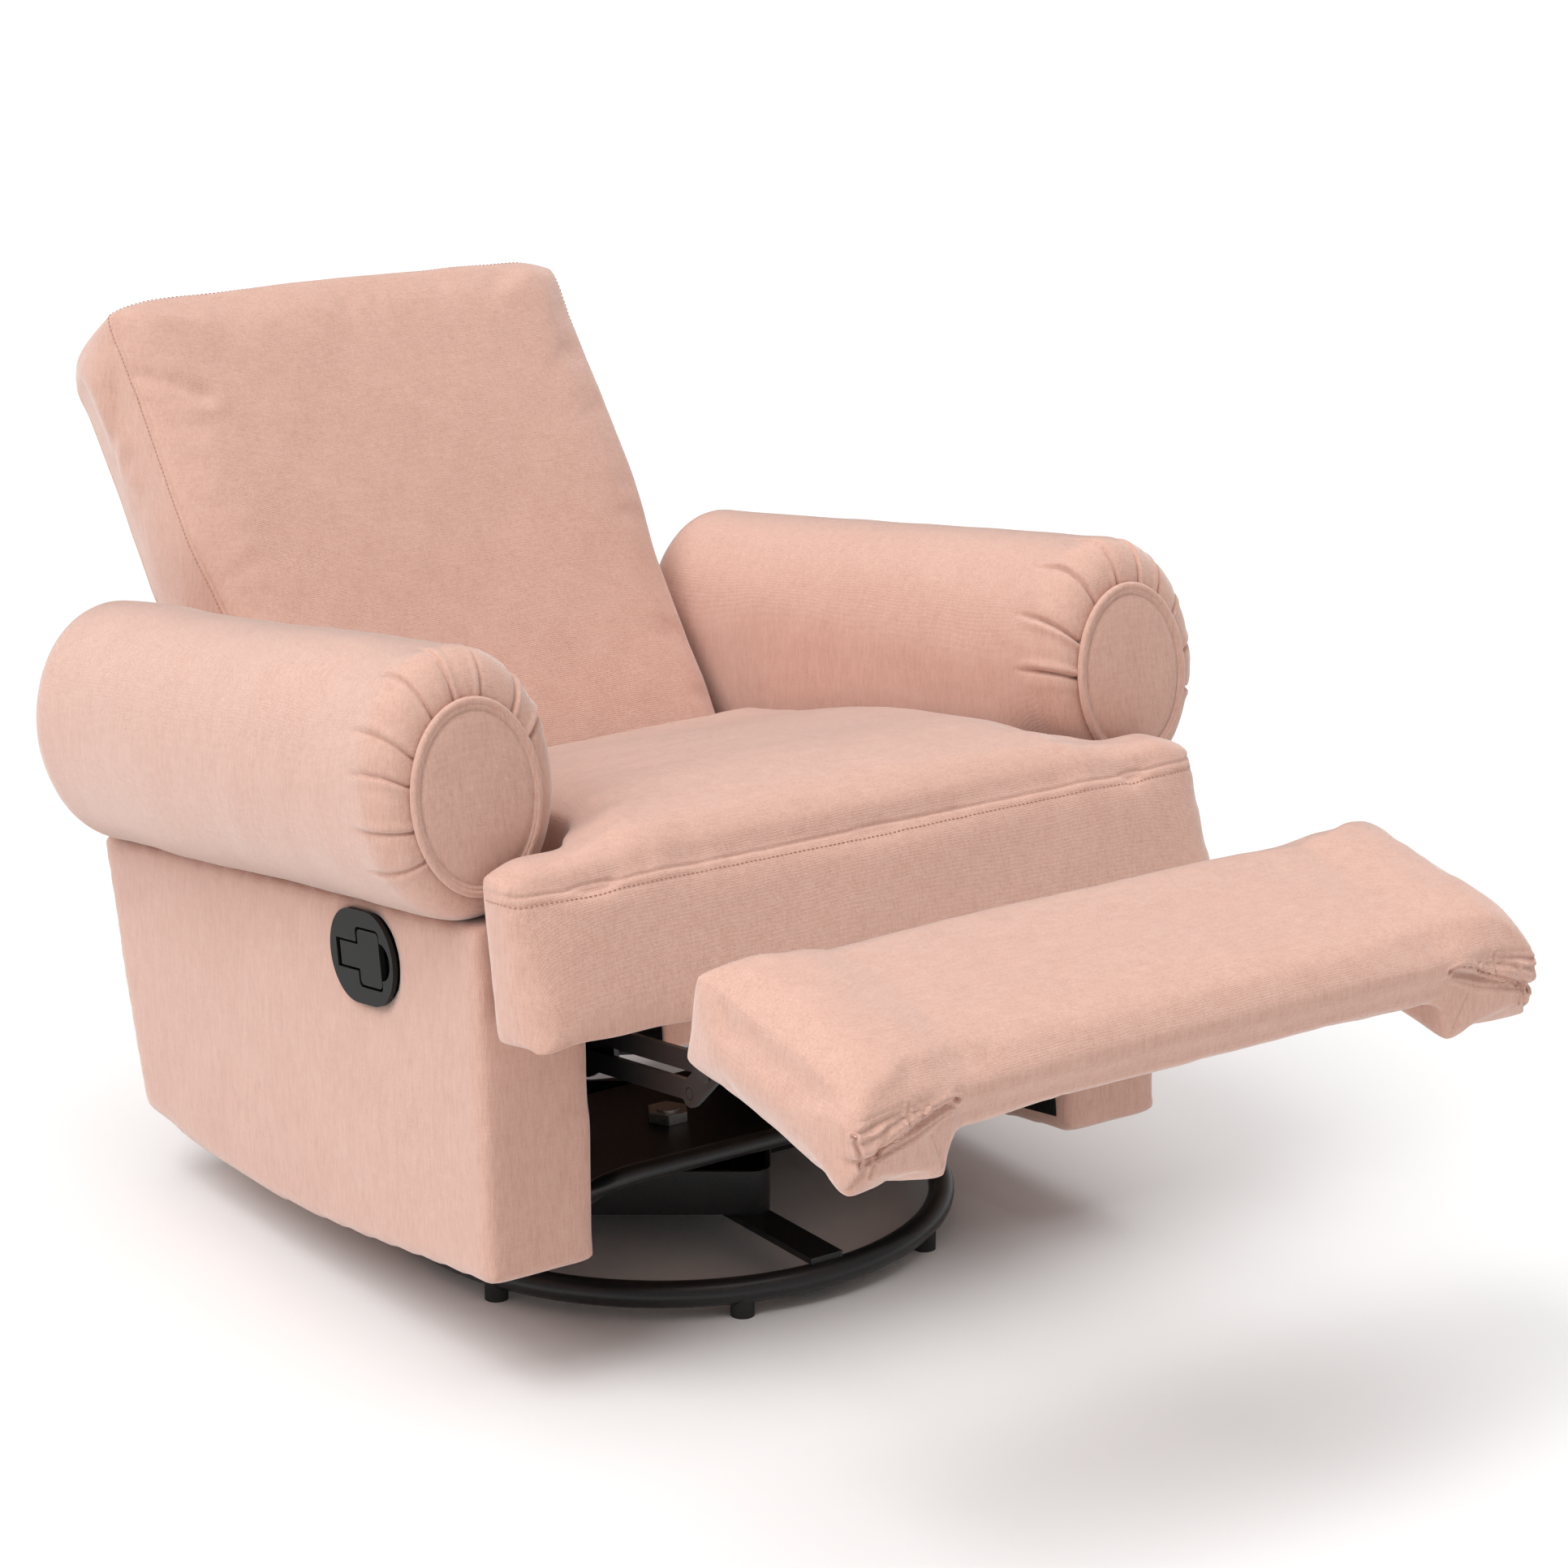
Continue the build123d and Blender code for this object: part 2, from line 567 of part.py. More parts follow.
def release_bezel():
    """A dish with a flange, a window for the paddle and two lugs for its pin."""
    face_x = -ARM_OUTER_X - BEZEL_FLANGE
    floor_x = -ARM_OUTER_X + POCKET_DEPTH
    dish = slab(bezel_oval(0), face_x, -ARM_OUTER_X)
    dish += slab(bezel_oval(BEZEL_LIP), -ARM_OUTER_X, floor_x)
    hollow = bezel_oval(BEZEL_LIP + BEZEL_WALL)
    dish -= slab(hollow, face_x + BEZEL_WALL, floor_x - BEZEL_WALL)
    y, z = BEZEL_CENTRE
    heel = Pos(y + PADDLE_REAR + PADDLE_HEEL_ROOM / 2, z)
    window = paddle_outline(WINDOW_GAP)
    window += heel * Rectangle(PADDLE_HEEL_ROOM, STEM_HEIGHT + 2 * WINDOW_GAP)
    recess = Pos(y - 34, z) * Circle(17)
    dish -= slab(window + recess, face_x, face_x + BEZEL_WALL)
    x, y = paddle_axis()
    for sign in (-1, 1):
        z = BEZEL_CENTRE[1] + sign * 16
        dish += block(floor_x - BEZEL_WALL, x - 5, y - 5, y + 5, z - 2, z + 2)
    dish -= Pos(x, y, BEZEL_CENTRE[1]) * Cylinder(PADDLE_PIN_RADIUS + RUNNING, 50)
    return dish


def release_paddle():
    """The T-shaped paddle on its upright pin."""
    outer = -ARM_OUTER_X - BEZEL_FLANGE + 0.5
    paddle = slab(paddle_outline(0), outer, outer + PADDLE_THICKNESS)
    x, y = paddle_axis()
    z = BEZEL_CENTRE[1]
    paddle += block(outer + 1, x, y - 3.5, y + 3.5, z - 11, z + 11)
    paddle += Pos(x, y, z) * Cylinder(3.5, 22)
    return paddle + Pos(x, y, z) * Cylinder(PADDLE_PIN_RADIUS, 35.6)


def release_cable():
    """The cable from the back of the release to the latch under the seat."""
    y, z = BEZEL_CENTRE
    points = [
        (-ARM_OUTER_X + POCKET_DEPTH, y, z),
        (-ARM_INNER_X + 9, y, z),
        (-ARM_INNER_X + 9, y + 4, z - 118),
        (-150, y - 4, z - 132),
        (-60, y - 72, z - 136),
    ]
    return bent_tube(points, CABLE_RADIUS, 24)


# ---------------------------------------------------------------- backrest
def back_bracket(sign):
    """The steel bracket that joins a stile to the recline pin."""
    x0 = sign * DRIVE_LAYER
    x1 = x0 + sign * LINK_THICKNESS
    bracket = slab(Circle(20) + Pos(20, 90) * Rectangle(38, 180), x0, x1)
    return on_back(bracket - rod((0, 0), 8 + RUNNING, x0, x1))


def back_stile(sign):
    """An upright of the back frame."""
    x0 = sign * (DRIVE_LAYER + LINK_THICKNESS)
    return on_back(block(x0, x0 + sign * STILE_WIDTH, 1, 39, 30, BACK_HEIGHT - 45))


def back_rail_top():
    """The top rail between the two stiles."""
    x = DRIVE_LAYER + LINK_THICKNESS
    return on_back(block(-x, x, 1, 39, BACK_HEIGHT - 95, BACK_HEIGHT - 55))


def back_cushion():
    """The thick back pillow, with a lip in front of the recline pins."""
    half = BACK_HALF_WIDTH
    pillow = block(-half, half, BACK_FRONT, 0, 26, BACK_HEIGHT)
    pillow = fillet(pillow.edges().group_by(Axis.Z)[-1], 22)
    return on_back(pillow + block(-half, half, BACK_FRONT, -30, -20, 26))


def back_outer():
    """The padded outer back, down to below the arms."""
    inner = BACK_REAR - BACK_OUTER_THICKNESS
    half = BACK_HALF_WIDTH
    panel = block(-half, half, inner, BACK_REAR, -BACK_OUTER_DROP, BACK_HEIGHT - 8)
    return on_back(fillet(panel.edges().group_by(Axis.Z)[-1].filter_by(Axis.X)[-1], 18))


# ---------------------------------------------------------------- footrest
def drive_tube():
    """The torque tube that turns both drive links together."""
    outer = DRIVE_LAYER + LINK_THICKNESS
    return rod(DRIVE_PIVOT, DRIVE_TUBE_RADIUS, -outer, outer)


def drive_link(sign):
    """The lower link of the footrest, welded to the torque tube, with the elbow pin."""
    x0 = sign * DRIVE_LAYER
    x1 = x0 + sign * LINK_THICKNESS
    link = flat_link(DRIVE_PIVOT, ELBOW_PIVOT, LINK_WIDTH, x0, x1)
    link += rod(DRIVE_PIVOT, DRIVE_TUBE_RADIUS + 5, x0, x1)
    link -= rod(DRIVE_PIVOT, DRIVE_TUBE_RADIUS, x0, x1)
    outer = THRUST_LAYER + LINK_THICKNESS + 2.2
    return link + headed_pin(ELBOW_PIVOT, ELBOW_PIN_RADIUS, sign, DRIVE_LAYER, outer, 2)


def guide_link(sign):
    """The second link of the lower pair, which keeps the elbow plate level with the body."""
    x0 = sign * DRIVE_LAYER
    x1 = x0 + sign * LINK_THICKNESS
    link = flat_link(GUIDE_PIVOT, ELBOW_GUIDE, LINK_WIDTH, x0, x1)
    link -= rod(GUIDE_PIVOT, SMALL_PIN_RADIUS + RUNNING, x0, x1)
    return link + rod(ELBOW_GUIDE, SMALL_PIN_RADIUS, x0, sign * (ELBOW_LAYER + LINK_THICKNESS))


def elbow_plate(sign):
    """The short plate between the two lower links, at the linkage's elbow."""
    x0 = sign * ELBOW_LAYER
    x1 = x0 + sign * LINK_THICKNESS
    plate = flat_link(ELBOW_PIVOT, ELBOW_GUIDE, LINK_WIDTH + 6, x0, x1)
    plate -= rod(ELBOW_PIVOT, ELBOW_PIN_RADIUS + RUNNING, x0, x1)
    return plate - rod(ELBOW_GUIDE, SMALL_PIN_RADIUS + OPEN_PIVOT, x0, x1)


def bracket_place():
    """The footrest's own pivot in the level body."""
    y, z = swing(BRACKET_PIVOT, FOOTREST_SLOPE)
    return FOOTREST_CENTRE[0] + y, FOOTREST_CENTRE[1] + z


def thrust_link(sign):
    """The upper link, from the elbow to the footrest bracket."""
    x0 = sign * THRUST_LAYER
    x1 = x0 + sign * LINK_THICKNESS
    link = flat_link(ELBOW_PIVOT, bracket_place(), LINK_WIDTH, x0, x1)
    link -= rod(ELBOW_PIVOT, ELBOW_PIN_RADIUS + RUNNING, x0, x1)
    return link - rod(bracket_place(), SMALL_PIN_RADIUS + RUNNING, x0, x1)


def footrest_bracket(sign):
    """The plate under the footrest board, with the pin of the upper link."""
    y, n = BRACKET_PIVOT
    board = PAD_BOTTOM - BOARD_THICKNESS
    points = [(y + 20, board), (y + 16, n - 4), (y + 4, n - 12), (y - 12, n - 10), (y - 110, board)]
    x0 = sign * BRACKET_LAYER
    x1 = x0 + sign * LINK_THICKNESS
    bracket = slab(side_outline(points), x0, x1)
    inner = sign * (THRUST_LAYER - 2.3)
    bracket += rod((y, n), SMALL_PIN_RADIUS, inner, x0)
    bracket += rod((y, n), SMALL_PIN_RADIUS + 3, inner, inner + sign * 2)
    return on_footrest(bracket)


def footrest_board():
    """The plywood board under the pad, between the end blocks."""
    half = FOOTREST_WIDTH / 2 - BLOCK_WIDTH
    depth = FOOTREST_DEPTH / 2 - 14
    board = block(-half, half, -depth, depth, PAD_BOTTOM - BOARD_THICKNESS, PAD_BOTTOM)
    return on_footrest(board)


def footrest_block(sign):
    """A padded end block, which meets the front of the arm when the footrest is folded."""
    outer = sign * FOOTREST_WIDTH / 2
    inner = outer - sign * BLOCK_WIDTH
    half = FOOTREST_DEPTH / 2
    return on_footrest(block(inner, outer, -half, half, BLOCK_BOTTOM, PAD_BOTTOM))


def footrest_pad():
    """The wide pad on top of the board and the end blocks."""
    x = FOOTREST_WIDTH / 2
    y = FOOTREST_DEPTH / 2
    pad = block(-x, x, -y, y, PAD_BOTTOM, PAD_TOP)
    return on_footrest(fillet(pad.edges().group_by(Axis.Z)[-1], PAD_RADIUS))


# ---------------------------------------------------------------- assembly
def level_nodes():
    """The pieces below the tilt pins, which are drawn where they stand."""
    rails = {side: carriage_rail(sign) for side, sign in SIDES}
    nodes = {
        "base_ring": base_ring(),
        "base_cross": base_cross(),
        "base_feet": base_feet(),
        "swivel_housing": swivel_housing(),
        "bearing_ring": bearing_ring(),
        "swivel_spindle": swivel_spindle(),
        "spindle_nut": spindle_nut(),
        "turntable_plate": turntable_plate(),
        "carriage_front_tube": carriage_tube(FRONT_TUBE, rails.values()),
        "carriage_rear_tube": carriage_tube(REAR_TUBE, rails.values()),
    }
    for side, sign in SIDES:
        nodes[f"glide_upright_{side}"] = glide_upright(sign)
        nodes[f"swing_link_front_{side}"] = swing_link(sign, -GLIDE_PIVOT_Y)
        nodes[f"swing_link_rear_{side}"] = swing_link(sign, GLIDE_PIVOT_Y)
        nodes[f"carriage_rail_{side}"] = rails[side]
    return nodes


def body_nodes():
    """The pieces of the body, the backrest and the footrest, still level."""
    nodes = {
        "seat_rail_front": seat_rail_cross(FRONT_RAIL_Y),
        "seat_rail_rear": seat_rail_cross(REAR_RAIL_Y),
        "seat_webbing": seat_webbing(),
        "seat_cushion": seat_cushion(),
        "seat_flap": seat_flap(),
        "rear_panel": rear_panel(),
        "release_bezel": release_bezel(),
        "release_paddle": release_paddle(),
        "release_cable": release_cable(),
        "back_rail_top": back_rail_top(),
        "back_cushion": back_cushion(),
        "back_outer": back_outer(),
        "drive_tube": drive_tube(),
        "footrest_board": footrest_board(),
        "footrest_pad": footrest_pad(),
    }
    paired = (
        side_plate,
        seat_rail_side,
        arm_panel,
        arm_roll,
        arm_disc,
        back_bracket,
        back_stile,
        drive_link,
        guide_link,
        elbow_plate,
        thrust_link,
        footrest_bracket,
        footrest_block,
    )
    for make in paired:
        for side, sign in SIDES:
            nodes[f"{make.__name__}_{side}"] = make(sign)
    return nodes


def main():
    """Writes one STEP file per piece."""
    os.makedirs("parts", exist_ok=True)
    nodes = level_nodes()
    for name, shape in body_nodes().items():
        nodes[name] = tip_back(shape)
    for name, shape in nodes.items():
        export_step(shape, f"parts/{name}.step")
    print(len(nodes), "nodes")


main()
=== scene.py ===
"""Looks of the glider nursery chair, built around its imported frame.

Lengths in the shape functions are in millimetres, in the frame that each piece is drawn in: the level
body, the backrest's own slope or the footrest's own slope.  Placed pieces are in metres.
"""

import json
import math

import bmesh
import bpy
import numpy as np
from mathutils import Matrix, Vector
from mathutils.bvhtree import BVHTree


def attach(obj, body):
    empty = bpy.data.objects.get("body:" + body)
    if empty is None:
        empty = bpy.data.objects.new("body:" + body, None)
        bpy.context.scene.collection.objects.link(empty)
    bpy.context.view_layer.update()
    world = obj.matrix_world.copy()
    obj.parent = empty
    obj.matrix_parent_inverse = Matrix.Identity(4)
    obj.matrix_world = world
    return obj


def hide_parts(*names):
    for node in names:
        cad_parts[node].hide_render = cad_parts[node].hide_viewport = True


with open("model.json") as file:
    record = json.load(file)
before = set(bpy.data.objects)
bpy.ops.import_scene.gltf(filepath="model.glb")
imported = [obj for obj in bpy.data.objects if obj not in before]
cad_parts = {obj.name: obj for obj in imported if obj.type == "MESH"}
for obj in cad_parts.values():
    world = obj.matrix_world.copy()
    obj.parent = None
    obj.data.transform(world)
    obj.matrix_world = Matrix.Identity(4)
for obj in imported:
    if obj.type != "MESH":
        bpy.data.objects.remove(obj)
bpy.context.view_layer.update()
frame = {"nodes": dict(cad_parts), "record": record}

MM = 0.001
FAR = 1.0
BODY_PITCH = math.radians(-8.0)
BACK_SLOPE = math.radians(-29.7)
BACK_PIVOT = (0.0, 255.0, 360.0)
REST_SLOPE = math.radians(18.9)
REST_CENTRE = (0.0, -725.0, 308.5)
SIDES = (("left", -1), ("right", 1))
SUN_DISTANCE = 4.0
SURROUND_STRENGTH = 0.34
FLOOR_HALF = 60.0
FLOOR_GREY = 0.86
THREAD_WANDER = 0.0012


# ---------------------------------------------------------------- camera, floor and light
def aim(thing, target):
    """Turns a lamp or camera so that it looks at a point."""
    thing.rotation_euler = (Vector(target) - thing.location).to_track_quat("-Z", "Y").to_euler()


def make_camera():
    """A long lens in front of the chair's right-hand corner, a little above the arms."""
    data = bpy.data.cameras.new("studio_camera")
    data.lens = 91.8
    data.sensor_width = 36.0
    camera = bpy.data.objects.new("studio_camera", data)
    camera.location = (-1.969, -3.017, 1.491)
    camera.rotation_euler = (math.radians(90 - 16.45), 0.0, math.radians(-34.91))
    bpy.context.scene.collection.objects.link(camera)
    bpy.context.scene.camera = camera


def hang_lamp(data, place, target):
    """Puts a lamp at a place and turns it to look at a point."""
    lamp = bpy.data.objects.new(data.name, data)
    lamp.location = place
    bpy.context.scene.collection.objects.link(lamp)
    aim(lamp, target)


def make_lamp(name, place, target, power, size):
    """A square soft box."""
    data = bpy.data.lights.new(name, "AREA")
    data.energy = power
    data.size = size
    hang_lamp(data, place, target)


def make_sun(name, way, strength, softness):
    """A distant soft lamp, so that the floor is lit evenly; way points from the chair to the lamp."""
    data = bpy.data.lights.new(name, "SUN")
    data.energy = strength
    data.angle = math.radians(softness)
    hang_lamp(data, Vector(way) * SUN_DISTANCE, (0.0, 0.0, 0.0))


def make_floor():
    """A plain pale floor, wide enough that its edge is never seen."""
    mesh = bpy.data.meshes.new("studio_floor")
    corners = [(x * FLOOR_HALF, y * FLOOR_HALF, 0.0) for x, y in ((-1, -1), (1, -1), (1, 1), (-1, 1))]
    mesh.from_pydata(corners, [], [(0, 1, 2, 3)])
    floor = bpy.data.objects.new("studio_floor", mesh)
    bpy.context.scene.collection.objects.link(floor)
    pale = bpy.data.materials.new("pale_floor")
    pale.use_nodes = True
    shader = pale.node_tree.nodes["Principled BSDF"]
    shader.inputs["Base Color"].default_value = (FLOOR_GREY, FLOOR_GREY, FLOOR_GREY, 1.0)
    shader.inputs["Roughness"].default_value = 0.7
    mesh.materials.append(pale)


def make_studio():
    """An even surround, two soft distant lamps, a weak box in front and the floor."""
    scene = bpy.context.scene
    scene.view_settings.view_transform = "Standard"
    world = bpy.data.worlds.new("studio_surround")
    world.use_nodes = True
    surround = world.node_tree.nodes["Background"]
    surround.inputs["Color"].default_value = (1.0, 1.0, 1.0, 1.0)
    surround.inputs["Strength"].default_value = SURROUND_STRENGTH
    scene.world = world
    make_sun("soft_key", way=(-0.62, 0.0, 0.78), strength=1.9, softness=42.0)
    make_sun("soft_top", way=(0.0, 0.02, 0.99), strength=1.75, softness=60.0)
    make_lamp("front_fill", place=(0.6, -3.4, 1.3), target=(0.0, -0.3, 0.4), power=2.5, size=2.4)
    make_floor()


# ---------------------------------------------------------------- finishes
def add(tree, kind, values=None, **settings):
    """Adds a node, with its settings and the values of its inputs."""
    node = tree.nodes.new(kind)
    for key, value in settings.items():
        setattr(node, key, value)
    for key, value in (values or {}).items():
        if hasattr(value, "is_linked"):
            tree.links.new(value, node.inputs[key])
        else:
            node.inputs[key].default_value = value
    return node


def combine(tree, operation, first, second, **settings):
    """A number worked out from two numbers."""
    return add(tree, "ShaderNodeMath", {0: first, 1: second}, operation=operation, **settings).outputs[0]


def new_group(name, inputs, outputs):
    """An empty shader group with named number inputs and outputs."""
    tree = bpy.data.node_groups.new(name, "ShaderNodeTree")
    for label, value in inputs:
        socket = tree.interface.new_socket(label, in_out="INPUT", socket_type="NodeSocketFloat")
        socket.default_value = value
    for label, kind in outputs:
        tree.interface.new_socket(label, in_out="OUTPUT", socket_type=kind)
    return tree, tree.nodes.new("NodeGroupInput"), tree.nodes.new("NodeGroupOutput")


def stretched_noise(tree, place, stretch, detail, roughness=0.55):
    """Noise whose grain is longer along the axes with the smaller numbers."""
    scaled = add(tree, "ShaderNodeVectorMath", {0: place, 1: stretch}, operation="MULTIPLY")
    values = {"Vector": scaled.outputs[0], "Scale": 1.0, "Detail": detail, "Roughness": roughness}
    return add(tree, "ShaderNodeTexNoise", values).outputs["Fac"]


def weave_group():
    """Crossed threads in all three directions, with slubs, flecks and soft clouds of brushed pile.

    The threads are the mean of three sines of the place, bent a little by slow noise.  The shade is
    0.5 plus each part's share of its own noise, centred on 0."""
    tree, given, out = new_group(
        "woven_cloth",
        (("Threads", 5200.0), ("Slub", 1.0), ("Cloud", 1.0)),
        (("Shade", "NodeSocketFloat"), ("Height", "NodeSocketFloat")),
    )
    place = add(tree, "ShaderNodeTexCoord").outputs["Object"]
    wander = stretched_noise(tree, place, (55.0, 55.0, 55.0), 1.0)
    drift = combine(tree, "MULTIPLY", wander, THREAD_WANDER)
    bent = add(tree, "ShaderNodeVectorMath", {0: place, 1: drift}, operation="ADD")
    fine = {0: bent.outputs[0], "Scale": given.outputs["Threads"]}
    scaled = add(tree, "ShaderNodeVectorMath", fine, operation="SCALE")
    waves = add(tree, "ShaderNodeVectorMath", {0: scaled.outputs[0]}, operation="SINE")
    third = {0: waves.outputs[0], 1: (0.33, 0.33, 0.33)}
    threads = add(tree, "ShaderNodeVectorMath", third, operation="DOT_PRODUCT").outputs["Value"]
    slub = stretched_noise(tree, place, (420.0, 420.0, 70.0), 2.0)
    cross = stretched_noise(tree, place, (60.0, 60.0, 620.0), 1.0)
    fleck = stretched_noise(tree, place, (900.0, 900.0, 900.0), 1.0)
    streak = stretched_noise(tree, place, (95.0, 95.0, 24.0), 3.0, 0.6)
    cloud = stretched_noise(tree, place, (16.0, 16.0, 9.0), 4.0, 0.6)
    parts = (
        (slub, 0.5, 0.62, "Slub"),
        (cross, 0.5, 0.22, "Slub"),
        (fleck, 0.5, 0.34, None),
        (streak, 0.5, 0.30, "Cloud"),
        (cloud, 0.5, 0.15, "Cloud"),
        (threads, 0.0, 0.06, None),
    )
    total = None
    for value, middle, share, weight in parts:
        part = combine(tree, "MULTIPLY", combine(tree, "SUBTRACT", value, middle), share)
        if weight is not None:
            part = combine(tree, "MULTIPLY", part, given.outputs[weight])
        total = combine(tree, "ADD", part, 0.5 if total is None else total)
    tree.links.new(total, out.inputs["Shade"])
    height = combine(tree, "ADD", threads, combine(tree, "MULTIPLY", fleck, 0.9))
    height = combine(tree, "ADD", height, combine(tree, "MULTIPLY", slub, 0.7))
    tree.links.new(height, out.inputs["Height"])
    return tree


def wear_group():
    """A mask that is high on edges rubbed bare, and a fine speckle for the coat.

    The mask is high where the rounded and the true normal differ, broken up by patchy noise."""
    tree, given, out = new_group(
        "rubbed_edges",
        (("Reach", 0.002), ("Grain", 900.0)),
        (("Edge", "NodeSocketFloat"), ("Speckle", "NodeSocketFloat")),
    )
    place = add(tree, "ShaderNodeTexCoord").outputs["Object"]
    rounded = add(tree, "ShaderNodeBevel", {"Radius": given.outputs["Reach"]}, samples=4)
    flat = add(tree, "ShaderNodeNewGeometry").outputs["Normal"]
    both = {0: rounded.outputs[0], 1: flat}
    alike = add(tree, "ShaderNodeVectorMath", both, operation="DOT_PRODUCT").outputs["Value"]
    edge = add(tree, "ShaderNodeMapRange", {"Value": alike, "From Min": 0.985, "From Max": 0.80}).outputs[0]
    patch = stretched_noise(tree, place, (70.0, 70.0, 70.0), 4.0, 0.7)
    broken = add(tree, "ShaderNodeMapRange", {"Value": patch, "From Min": 0.46, "From Max": 0.66}).outputs[0]
    tree.links.new(combine(tree, "MULTIPLY", edge, broken, use_clamp=True), out.inputs["Edge"])
    grain = add(tree, "ShaderNodeTexNoise", {"Vector": place, "Scale": given.outputs["Grain"], "Detail": 2.0})
    tree.links.new(grain.outputs["Fac"], out.inputs["Speckle"])
    return tree


def grain_group():
    """Long wood grain along X with darker pores."""
    tree, given, out = new_group("wood_grain", (("Figure", 1.0),), (("Shade", "NodeSocketFloat"),))
    place = add(tree, "ShaderNodeTexCoord").outputs["Object"]
    broad = stretched_noise(tree, place, (5.0, 60.0, 60.0), 4.0)
    pores = stretched_noise(tree, place, (30.0, 900.0, 900.0), 2.0)
    broad = combine(tree, "MULTIPLY", broad, given.outputs["Figure"])
    shade = combine(tree, "ADD", broad, combine(tree, "MULTIPLY", pores, 0.35))
    tree.links.new(shade, out.inputs["Shade"])
    return tree


WEAVE = weave_group()
WEAR = wear_group()
GRAIN = grain_group()


def ramp(tree, value, stops):
    """A colour ramp through (position, colour) stops."""
    node = add(tree, "ShaderNodeValToRGB", {0: value})
    elements = node.color_ramp.elements
    while len(elements) < len(stops):
        elements.new(0.5)
    for element, (position, colour) in zip(elements, stops):
        element.position = position
        element.color = (*colour, 1.0)
    return node.outputs["Color"]


def new_finish(name, **constants):
    """A material with its constant shader values set."""
    material = bpy.data.materials.new(name)
    material.use_nodes = True
    shader = material.node_tree.nodes["Principled BSDF"]
    for label, value in constants.items():
        shader.inputs[label.replace("_", " ")].default_value = value
    return material, material.node_tree, shader


def add_relief(tree, shader, height, strength, distance):
    """Bumps the surface by a height that changes over it."""
    relief = add(tree, "ShaderNodeBump", {"Strength": strength, "Distance": distance, "Height": height})
    tree.links.new(relief.outputs[0], shader.inputs["Normal"])


def cloth_finish(name, dark, middle, light, threads, bump, **constants):
    """Woven cloth: three shades of yarn, with the threads' own relief."""
    material, tree, shader = new_finish(name, **constants)
    weave = add(tree, "ShaderNodeGroup", node_tree=WEAVE)
    weave.inputs["Threads"].default_value = threads
    colour = ramp(tree, weave.outputs["Shade"], ((0.22, dark), (0.5, middle), (0.78, light)))
    tree.links.new(colour, shader.inputs["Base Color"])
    add_relief(tree, shader, weave.outputs["Height"], bump, 0.0005)
    return material


def coat_finish(name, coat, worn, rough, worn_rough, metal, reach, grain, bump, **constants):
    """Paint, plastic or plate: speckled roughness and rubbed edges."""
    material, tree, shader = new_finish(name, **constants)
    wear = add(tree, "ShaderNodeGroup", node_tree=WEAR)
    wear.inputs["Reach"].default_value = reach
    wear.inputs["Grain"].default_value = grain
    edge, speckle = wear.outputs["Edge"], wear.outputs["Speckle"]
    lighter = tuple(min(1.0, c * 1.5 + 0.006) for c in coat)
    plain = ramp(tree, speckle, ((0.35, coat), (0.75, lighter)))
    mixed = add(tree, "ShaderNodeMix", {0: edge, 6: plain, 7: (*worn, 1.0)}, data_type="RGBA")
    tree.links.new(mixed.outputs[2], shader.inputs["Base Color"])
    spread = {"Value": speckle, "From Min": 0.3, "From Max": 0.7, "To Min": rough, "To Max": rough + 0.12}
    uneven = add(tree, "ShaderNodeMapRange", spread)
    blended = add(tree, "ShaderNodeMix", {0: edge, 2: uneven.outputs[0], 3: worn_rough}, data_type="FLOAT")
    tree.links.new(blended.outputs[0], shader.inputs["Roughness"])
    if metal is not None:
        bare = add(tree, "ShaderNodeMapRange", {"Value": edge, "To Min": metal, "To Max": 1.0})
        tree.links.new(bare.outputs[0], shader.inputs["Metallic"])
    add_relief(tree, shader, speckle, bump, 0.0002)
    return material


def wood_finish(name):
    """Sawn hardwood frame timber."""
    material, tree, shader = new_finish(name, Specular_IOR_Level=0.3)
    shade = add(tree, "ShaderNodeGroup", node_tree=GRAIN).outputs["Shade"]
    stops = ((0.35, (0.30, 0.17, 0.08)), (0.6, (0.52, 0.34, 0.18)), (0.85, (0.66, 0.47, 0.28)))
    tree.links.new(ramp(tree, shade, stops), shader.inputs["Base Color"])
    rough = add(tree, "ShaderNodeMapRange", {"Value": shade, "To Min": 0.75, "To Max": 0.55})
    tree.links.new(rough.outputs[0], shader.inputs["Roughness"])
    add_relief(tree, shader, shade, 0.25, 0.0006)
    return material


